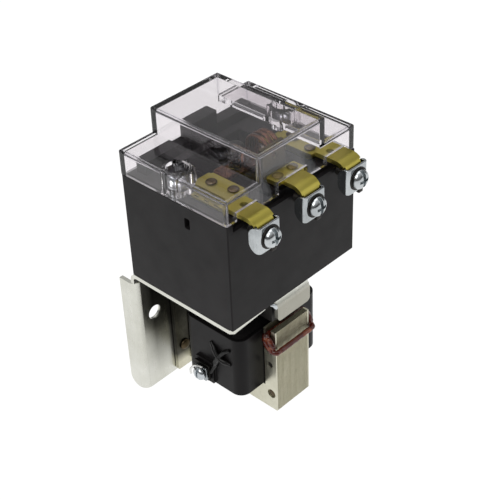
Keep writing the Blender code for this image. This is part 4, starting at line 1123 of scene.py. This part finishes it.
        # tinned wire end hooked over the tab
        x = face + s * 1.9
        hook = tube_bm(spline_points([(x, TAB_Y + 5.9, -63.0), (x + s * 0.4, TAB_Y + 5.6, -60.8),
                                      (x + s * 0.6, TAB_Y + 4.2, -58.6),
                                      (x + s * 0.8, TAB_Y + 2.9, -57.0),
                                      (x + s * 0.9, TAB_Y + 1.0, -55.9),
                                      (x + s * 0.6, TAB_Y - 1.2, -55.7)], 7), 0.42, False, 14)
        ob = object_from(hook, "coil_lead_%s_tinned_end" % side)
        put(ob, "tinned", None, body=BODY_OF["coil_tab_" + side])


# ----------------------------------------------------------------- terminals
RIVETS = {
    "left": [(-19.8, -6.4), (-18.3, -15.0)],
    "centre": [(-3.6, -20.1), (3.6, -20.1)],
    "right": [(19.8, -6.4), (18.3, -15.0)],
}


def straps():
    for side in ("left", "centre", "right"):
        x, z = TERM_X[side], STRAP_Z[side]
        half = STRAP_W / 2
        tip = CLAMP_Z[side] - 5.0
        inner_end = -19.2 if side == "centre" else -17.0
        add, sub = [], []
        if side == "centre":
            add.append(box_bm((-6.8, 6.8), (-23.8, -17.6),
                              (z - STRAP_T / 2, z + STRAP_T / 2), 0.7, 4, vertical))
        else:
            s = -1 if side == "left" else 1
            add.append(box_bm((min(s * 23.8, s * 15.2), max(s * 23.8, s * 15.2)),
                              (-18.2, -2.4), (z - STRAP_T / 2, z + STRAP_T / 2),
                              0.9, 4, vertical))
            sub.append(rod_bm("z", (s * 21.3, -21.4, z), 1.35, 6.0, 36))
        sub += [rod_bm("y", (x, STRAP_Y, CLAMP_Z[side]), 2.3, 6.0, 40)]
        sub += [box_bm((x + t * 4.2 - 0.4, x + t * 4.2 + 0.4), (-36, -30),
                       (5.0, CLAMP_Z[side] + 5.1)) for t in (-1, 1)]
        sub += [rod_bm("z", (u, v, z), 1.45, 6.0, 32) for u, v in RIVETS[side]]
        ob = solid("terminal_strap_%s_bent" % side,
                   prism_bm("x", (x - half, x + half),
                            strip([(inner_end, z), (STRAP_Y, z), (STRAP_Y, tip)],
                                  4.0, STRAP_T, 16)), add, sub)
        put(ob, "brass", "terminal_strap_" + side, bevel=0.2, segments=3, angle=40)
        for i, (u, v) in enumerate(RIVETS[side]):
            depth = {"left": 3.0, "right": 3.0, "centre": 3.1}[side]
            name = "strap_rivet_%s_%d" % (side, i + 1)
            head = smooth_profile([(0, 0.50), (0.6, 0.49), (1.2, 0.43), (1.75, 0.28),
                                   (1.95, 0.06)], 3)
            ob = solid(name + "_turned",
                       turned_bm("z", 1, (u, v, z + STRAP_T / 2 + GAP),
                                 head + [(2.0, 0), (1.12, 0), (1.12, -depth),
                                         (0, -depth)], 32))
            put(ob, "rivet", name)


def plates():
    ob = solid("contact_plate_left_stamped",
               prism_bm("y", (-6.6, 0.6),
                        strip([(-20.8, 21.8), (-13.6, 21.8), (-13.6, 14.35),
                               (-7.4, 14.35)], 1.0, 0.9, 8)),
               add=[box_bm((-25.6, -15.4), (-17.0, -3.0), (21.4, 22.2), 0.6, 3, vertical)],
               sub=[box_bm((-25.2, -24.5), (v, v + 2.4), (20, 24))
                    for v in (-6.4, -10.9, -15.4)]
                   + [rod_bm("z", (u, v, 22.0), 1.45, 6.0, 32) for u, v in RIVETS["left"]]
                   + [rod_bm("z", (-10.2, -3.0, 14.3), 1.1, 4.0, 28)])
    put(ob, "brass", "contact_plate_left", bevel=0.1, segments=2, angle=40)
    ob = solid("contact_plate_right_stamped",
               prism_bm("y", (-6.6, 0.6),
                        strip([(20.8, 21.8), (14.5, 21.8), (13.0, 25.95), (7.0, 25.95)],
                              [0, 1.0, 1.0, 0], 0.9, 8)),
               add=[box_bm((15.6, 25.6), (-17.0, -3.0), (21.4, 22.2), 0.6, 3, vertical)],
               sub=[rod_bm("z", (u, v, 22.0), 1.45, 6.0, 32) for u, v in RIVETS["right"]]
                   + [rod_bm("z", (10.2, -3.0, 25.8), 1.1, 4.0, 28)])
    put(ob, "brass", "contact_plate_right", bevel=0.1, segments=2, angle=40)
    ob = solid("braid_riser_bent",
               prism_bm("x", (-6.0, 5.0),
                        strip([(-22.0, 23.2), (-15.4, 23.2), (-15.4, 33.2)], 1.0, 1.0, 8)),
               sub=[rod_bm("z", (u, v, 23.4), 1.45, 5.0, 32) for u, v in RIVETS["centre"]]
                   + [rod_bm("y", (-0.5, -15.4, 30.4), 1.2, 4.0, 28)])
    put(ob, "dull_brass", "braid_riser", bevel=0.15, segments=2, angle=40)


def clamps():
    for side in ("left", "centre", "right"):
        x, z = TERM_X[side], CLAMP_Z[side]
        y0 = STRAP_Y - STRAP_T / 2
        ears = [prism_bm("x", (x + t * 4.8 - 2.0, x + t * 4.8 + 2.0),
                         [(y0 + 5.0, z + w * 6.0), (y0 - 0.2, z + w * 6.0)]
                         + [(y0 - 0.2 + 3.7 * math.sin(math.radians(a)),
                             z + w * (1.0 + 3.9 * math.cos(math.radians(a))))
                            for a in range(0, 91, 9)]
                         + [(y0 + 5.0, z + w * 1.0)]) for t in (-1, 1) for w in (-1, 1)]
        ob = solid("terminal_clamp_%s_pressed" % side,
                   prism_bm("z", (z - 4.8, z + 4.8),
                            strip([(x - 4.8, y0 + 3.4), (x - 4.8, y0 - 0.85),
                                   (x + 4.8, y0 - 0.85), (x + 4.8, y0 + 3.4)],
                                  1.0, 0.9, 8)),
                   sub=[rod_bm("y", (x, y0 - 1.0, z), 2.3, 6.0, 40)] + ears)
        put(ob, "zinc_painted_shade", "terminal_clamp_" + side, bevel=0.14, segments=2, angle=40)
        disc = solid("terminal_clamp_%s_washer" % side,
                     rod_bm("y", (x, y0 - 1.45, z), 4.25, 0.26, 48, 0.08),
                     sub=[rod_bm("y", (x, y0 - 1.45, z), 2.3, 3.0, 36)])
        put(disc, "blackened_and_shade", None, body=BODY_OF["terminal_clamp_" + side])
        # a small tongue below the clamp, coloured dark as painted shade of the strap end under the
        # clamp
        tongue = box_bm((x + 0.4, x + 2.6), (y0 - 1.5, y0 - 0.1), (z - 6.3, z - 4.7), 0.3, 2)
        ob = object_from(tongue, "terminal_clamp_%s_tongue" % side)
        put(ob, "blackened_and_shade", None, body=BODY_OF["terminal_clamp_" + side])
        head = y0 - 1.3 - GAP
        profile = [(0, 2.62), (1.1, 2.58), (2.0, 2.40), (2.8, 2.02), (3.35, 1.40),
                   (3.58, 0.75), (3.6, 0.25), (3.5, 0.0), (1.9, 0), (1.9, -0.5), (0, -0.5)]
        thread = [(0, -0.52), (1.7, -0.52)]
        d = -0.6
        while d > -8.4:
            thread += [(1.95, d), (1.66, d - 0.32), (1.95, d - 0.64)]
            d -= 0.8
        thread += [(1.9, -8.9), (1.3, -9.4), (0, -9.4)]
        # the thread is coloured dark as painted shade under the screw head and strap
        shank = solid("terminal_screw_%s_thread" % side,
                      turned_bm("y", -1, (x, head, z), thread, 40))
        put(shank, "blackened_and_shade", None, body=BODY_OF["terminal_screw_" + side])
        ob = solid("terminal_screw_%s_turned" % side,
                   turned_bm("y", -1, (x, head, z), profile, 56),
                   sub=[box_bm((x - 0.65, x + 0.65), (head - 6.0, head - 0.9),
                               (z - 5, z + 5)),
                        box_bm((x - 2.1, x + 2.1), (head - 6.0, head - 0.9),
                               (z - 0.55, z + 0.55))])
        put(ob, "zinc_painted_shade", "terminal_screw_" + side, bevel=0.08, segments=1, angle=50)
        rear = STRAP_Y + STRAP_T / 2 + 0.5
        ob = solid("terminal_nut_%s_hex" % side,
                   prism_bm("y", (rear, rear + 2.4),
                            [(x + 3.5 * math.cos(math.radians(60 * k)),
                              z + 3.5 * math.sin(math.radians(60 * k)))
                             for k in range(6)]),
                   sub=[rod_bm("y", (x, rear + 1.2, z), 2.3, 6.0, 36)])
        put(ob, "blackened_and_shade", "terminal_nut_" + side, bevel=0.14)


# ------------------------------------------------------------- moving pieces
def armature():
    count = 27
    step = 17.2 / count
    sheets = []
    for i in range(count):
        shift = abs(0.04 * noise.noise(Vector((i * 2.9, 5.1, 0.0)))) + 0.01
        x0 = -8.6 + i * step
        mid = abs(x0 + step / 2) < 3.3
        spans = ([(-21.2 + shift, STEM_Y - 3.3), (STEM_Y + 3.3, 17.0 - shift)] if mid
                 else [(-21.2 + shift, 17.0 - shift)])
        for y0, y1 in spans:
            bm = bmesh.new()
            size = Vector((step - 0.03, y1 - y0, 8.5 - 2 * shift))
            bmesh.ops.create_cube(bm, size=1.0, matrix=Matrix.Translation(
                (x0 + step / 2, (y0 + y1) / 2, -29.05)) @ Matrix.Diagonal((*size, 1.0)))
            sheets.append(bm)
    # the armature's dark tone is partly blued steel and partly painted shade of the gap under the
    # bracket
    put(object_from(merged(*sheets), "armature_laminations"), "blackened_and_shade", "armature",
        bevel=0.04, segments=1)
    put(solid("armature_pin_turned",
              turned_bm("x", 1, (0, STEM_Y, -29.2),
                        [(0, 8.8), (1.0, 8.8), (1.2, 8.6), (1.2, -8.6), (1.0, -8.8),
                         (0, -8.8)], 32)), "zinc", "armature_pin")
    ob = solid("contact_carrier_moulding",
               box_bm((-5.2, 5.2), (STEM_Y - 5.2, STEM_Y + 5.2), (-24.4, 16.0), 0.6, 3,
                      vertical),
               add=[box_bm((-2.9, 2.9), (STEM_Y - 2.9, STEM_Y + 2.9), (-32.6, -23.0)),
                    box_bm((-12.9, 12.9), (STEM_Y - 3.6, STEM_Y + 3.6), (1.8, 5.0)),
                    box_bm((-6.4, 6.4), (STEM_Y - 5.2, STEM_Y + 6.4), (13.6, 20.3))],
               sub=[rod_bm("x", (0, STEM_Y, -29.2), 1.55, 30.0, 32),
                    rod_bm("z", (-4.2, -3.0, 19.0), 1.5, 8.0, 28),
                    box_bm((-1.6, 1.6), (-12, 8), (7.0, 11.0))])
    put(ob, "nylon", "contact_carrier", bevel=0.3, segments=3)
    put(solid("contact_pin_turned",
              turned_bm("z", 1, (PIN_X, -3.0, 29.4),
                        [(0, 1.0), (1.2, 0.98), (2.1, 0.86), (2.5, 0.5), (2.6, 0.1),
                         (2.5, 0), (1.15, 0), (1.15, -13.4), (0.8, -13.8), (0, -13.8)],
                        36)), "blackened_and_shade", "contact_pin")
    ob = solid("moving_contact_bar_stamped",
               box_bm((-12.6, 12.6), (-6.5, 0.5), (20.6, 22.2), 0.9, 5, vertical),
               sub=[rod_bm("z", (PIN_X, -3.0, 21.4), 1.6, 5.0, 32)])
    put(ob, "copper", "moving_contact_bar", bevel=0.2, segments=3)
    for name, x, z, h, up in (("bar_lower", -10.2, 19.8, 1.0, -1),
                              ("bar_upper", 10.2, 23.0, 1.0, 1),
                              ("open", -10.2, 15.84, 1.4, 1),
                              ("closed", 10.2, 24.4, 1.6, -1)):
        a = h / 2
        put(solid("contact_tip_%s_button" % name,
                  turned_bm("z", up, (x, -3.0, z),
                            [(0, a), (0.9, a - 0.02), (1.6, a - 0.12), (2.0, a - 0.4),
                             (2.0, -a), (0, -a)], 36)),
            "silver", "contact_tip_" + name)


def coil_points(cx, cy, z0, z1, r, turns, per_turn=12, flat=0.75):
    n = int(turns * per_turn)
    pts = []
    for i in range(n + 1):
        t = i / per_turn
        ease = min(max((t - flat) / (turns - 2 * flat), 0.0), 1.0)
        ease = ease * ease * (3 - 2 * ease) * 0.25 + ease * 0.75
        a = 2 * math.pi * t
        pts.append((cx + r * math.cos(a), cy + r * math.sin(a), z0 + (z1 - z0) * ease))
    return pts


def springs():
    ob = object_from(tube_bm(coil_points(PIN_X, -3.0, 22.85, 28.75, 1.9, 4.5, 24), 0.3,
                             sides=10), "contact_spring_wire")
    put(ob, "blackened_and_shade", "contact_spring")
    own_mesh(ob)
    for side, s in (("left", -1), ("right", 1)):
        ob = object_from(tube_bm(coil_points(s * 9.4, STEM_Y, -8.2, 1.0, 2.6, 5.0, 24),
                                 0.42, sides=10), "return_spring_%s_wire" % side)
        put(ob, "spring", "return_spring_" + side)
        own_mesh(ob)


def braid():
    """Copper pigtails side by side, each a twist of strands, bound in a crimp at
    both ends."""
    path = [(-14.0, 27.0), (-14.0, 33.6), (-4.4, 33.6), (-4.4, 23.15), (0.2, 23.15)]
    line = centre_line(path, [0, 4.4, 4.4, 1.0, 0], 10)
    dense = []
    for a, b in zip(line, line[1:]):
        k = max(1, int((b - a).length / 0.45))
        dense += [a.lerp(b, i / k) for i in range(k)]
    dense.append(line[-1])
    bms = []
    share = make_material("copper", "contact_braid")
    for tail, x in enumerate((-0.3, 2.0, 4.3)):
        for strand in range(6):
            pts, travel = [], 0.0
            for i, p in enumerate(dense):
                if i:
                    travel += (p - dense[i - 1]).length
                d = (dense[min(i + 1, len(dense) - 1)] - dense[max(i - 1, 0)]).normalized()
                a = 2 * math.pi * (travel / 7.0 * (1 if tail % 2 else -1) + strand / 6)
                side, lift = 0.62 * math.cos(a), 0.30 * math.sin(a)
                pts.append((x + side, p.x - d.y * lift, p.y + d.x * lift))
            bms.append(tube_bm(pts, 0.34, sides=8))
    ob = object_from(merged(*bms), "contact_braid_strands")
    put(ob, None, "contact_braid", share=share, held=False)
    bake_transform(ob)
    for name, body, y, z, sy, sz in (("fixed", "base", -14.0, 28.2, 0.55, 1.2),
                                     ("moving", "contact_bridge", -1.2, 23.15, 1.2, 0.50)):
        ob = object_from(box_bm((-1.35, 5.35), (y - sy, y + sy), (z - sz, z + sz), 0.18, 2),
                         "contact_braid_crimp_" + name)
        put(ob, None, None, share=share, body=body)


for build in (housing, cover, cover_screws, bracket, core_parts, shading_rings, coil,
              straps, plates, clamps, armature, springs, braid):
    build()

# -------------------------------------------------------------------- studio
world = bpy.data.worlds.new("studio")
scene.world = world
world.use_nodes = True
tree = world.node_tree
tree.nodes.clear()
w_out = tree.nodes.new("ShaderNodeOutputWorld")
w_bg = tree.nodes.new("ShaderNodeBackground")
w_ramp = tree.nodes.new("ShaderNodeValToRGB")
w_sep = tree.nodes.new("ShaderNodeSeparateXYZ")
w_map = tree.nodes.new("ShaderNodeMapRange")
w_geo = tree.nodes.new("ShaderNodeTexCoord")
tree.links.new(w_geo.outputs["Generated"], w_sep.inputs["Vector"])
tree.links.new(w_sep.outputs["Z"], w_map.inputs["Value"])
w_map.inputs["From Min"].default_value = -0.1
w_map.inputs["From Max"].default_value = 1.0
tree.links.new(w_map.outputs["Result"], w_ramp.inputs["Fac"])
while len(w_ramp.color_ramp.elements) < 4:
    w_ramp.color_ramp.elements.new(0.5)
for element, (at, v) in zip(w_ramp.color_ramp.elements,
                            ((0.0, 0.05), (0.28, 0.07), (0.62, 0.46), (1.0, 0.95))):
    element.position = at
    element.color = (v, v, v * 1.005, 1.0)
tree.links.new(w_ramp.outputs["Color"], w_bg.inputs["Color"])
w_bg.inputs["Strength"].default_value = 1.0
w_plain = tree.nodes.new("ShaderNodeBackground")
w_plain.inputs["Color"].default_value = (1.0, 1.0, 1.0, 1.0)
w_mix = tree.nodes.new("ShaderNodeMixShader")
w_path = tree.nodes.new("ShaderNodeLightPath")
tree.links.new(w_path.outputs["Is Camera Ray"], w_mix.inputs["Fac"])
tree.links.new(w_bg.outputs["Background"], w_mix.inputs[1])
tree.links.new(w_plain.outputs["Background"], w_mix.inputs[2])
tree.links.new(w_mix.outputs["Shader"], w_out.inputs["Surface"])


def area(name, at, target, size, power, colour=(1.0, 1.0, 1.0)):
    light = bpy.data.lights.new(name, "AREA")
    light.shape = "RECTANGLE"
    light.size, light.size_y = size
    light.energy = power
    light.color = colour
    ob = bpy.data.objects.new(name, light)
    scene.collection.objects.link(ob)
    ob.location = at
    ob.rotation_euler = (Vector(target) - Vector(at)).to_track_quat("-Z", "Y").to_euler()
    return ob


centre = Vector((0.0, -0.025, 0.03))
area("key", (-0.42, -0.10, 0.52), centre, (0.36, 0.36), 1.6, (1.0, 0.99, 0.97))
area("top", (0.05, 0.10, 0.60), centre, (0.45, 0.45), 1.2)
area("fill", (0.45, -0.50, 0.25), centre, (0.30, 0.40), 0.5, (0.97, 0.985, 1.0))

# floor: plain and very pale, a flat sheet reaching beyond the view
bm = bmesh.new()
bmesh.ops.create_grid(bm, x_segments=2, y_segments=2, size=3.0)
mesh = bpy.data.meshes.new("floor")
bm.to_mesh(mesh)
bm.free()
floor = bpy.data.objects.new("floor", mesh)
floor.location = (0.0, 0.0, (PLATE_BOTTOM_Z + DZ) * MM - 0.0006)
scene.collection.objects.link(floor)
g = Graph("floor_paper")
paper = g.noise(60.0, 3.0, 0.5)
shader = g.surface(g.ramp(paper, [(0.3, 0.045), (0.7, 0.055)]), 0.9, None,
                   Specular_IOR_Level=0.0)
shader.inputs["Emission Color"].default_value = (1.0, 1.0, 1.0, 1.0)
shader.inputs["Emission Strength"].default_value = 1.0
floor.data.materials.append(g.mat)

# -------------------------------------------------------------------- camera
cam = bpy.data.cameras.new("camera")
cam.sensor_width = 36.0
cam.lens = 85.2
cam.clip_start, cam.clip_end = 0.01, 20.0
camera = bpy.data.objects.new("camera", cam)
scene.collection.objects.link(camera)
R = Vector((0.6837, -0.7290, -0.0338)).normalized()
F = Vector((0.5752, 0.5669, -0.5898)).normalized()
U = R.cross(F).normalized()
R = F.cross(U).normalized()
camera.matrix_world = Matrix(((R.x, U.x, -F.x, -0.2436), (R.y, U.y, -F.y, -0.2699),
                              (R.z, U.z, -F.z, 0.2789), (0, 0, 0, 1)))
scene.camera = camera

scene.view_settings.view_transform = "Standard"
scene.view_settings.look = "None"
scene.view_settings.exposure = 0.0

bpy.context.view_layer.update()
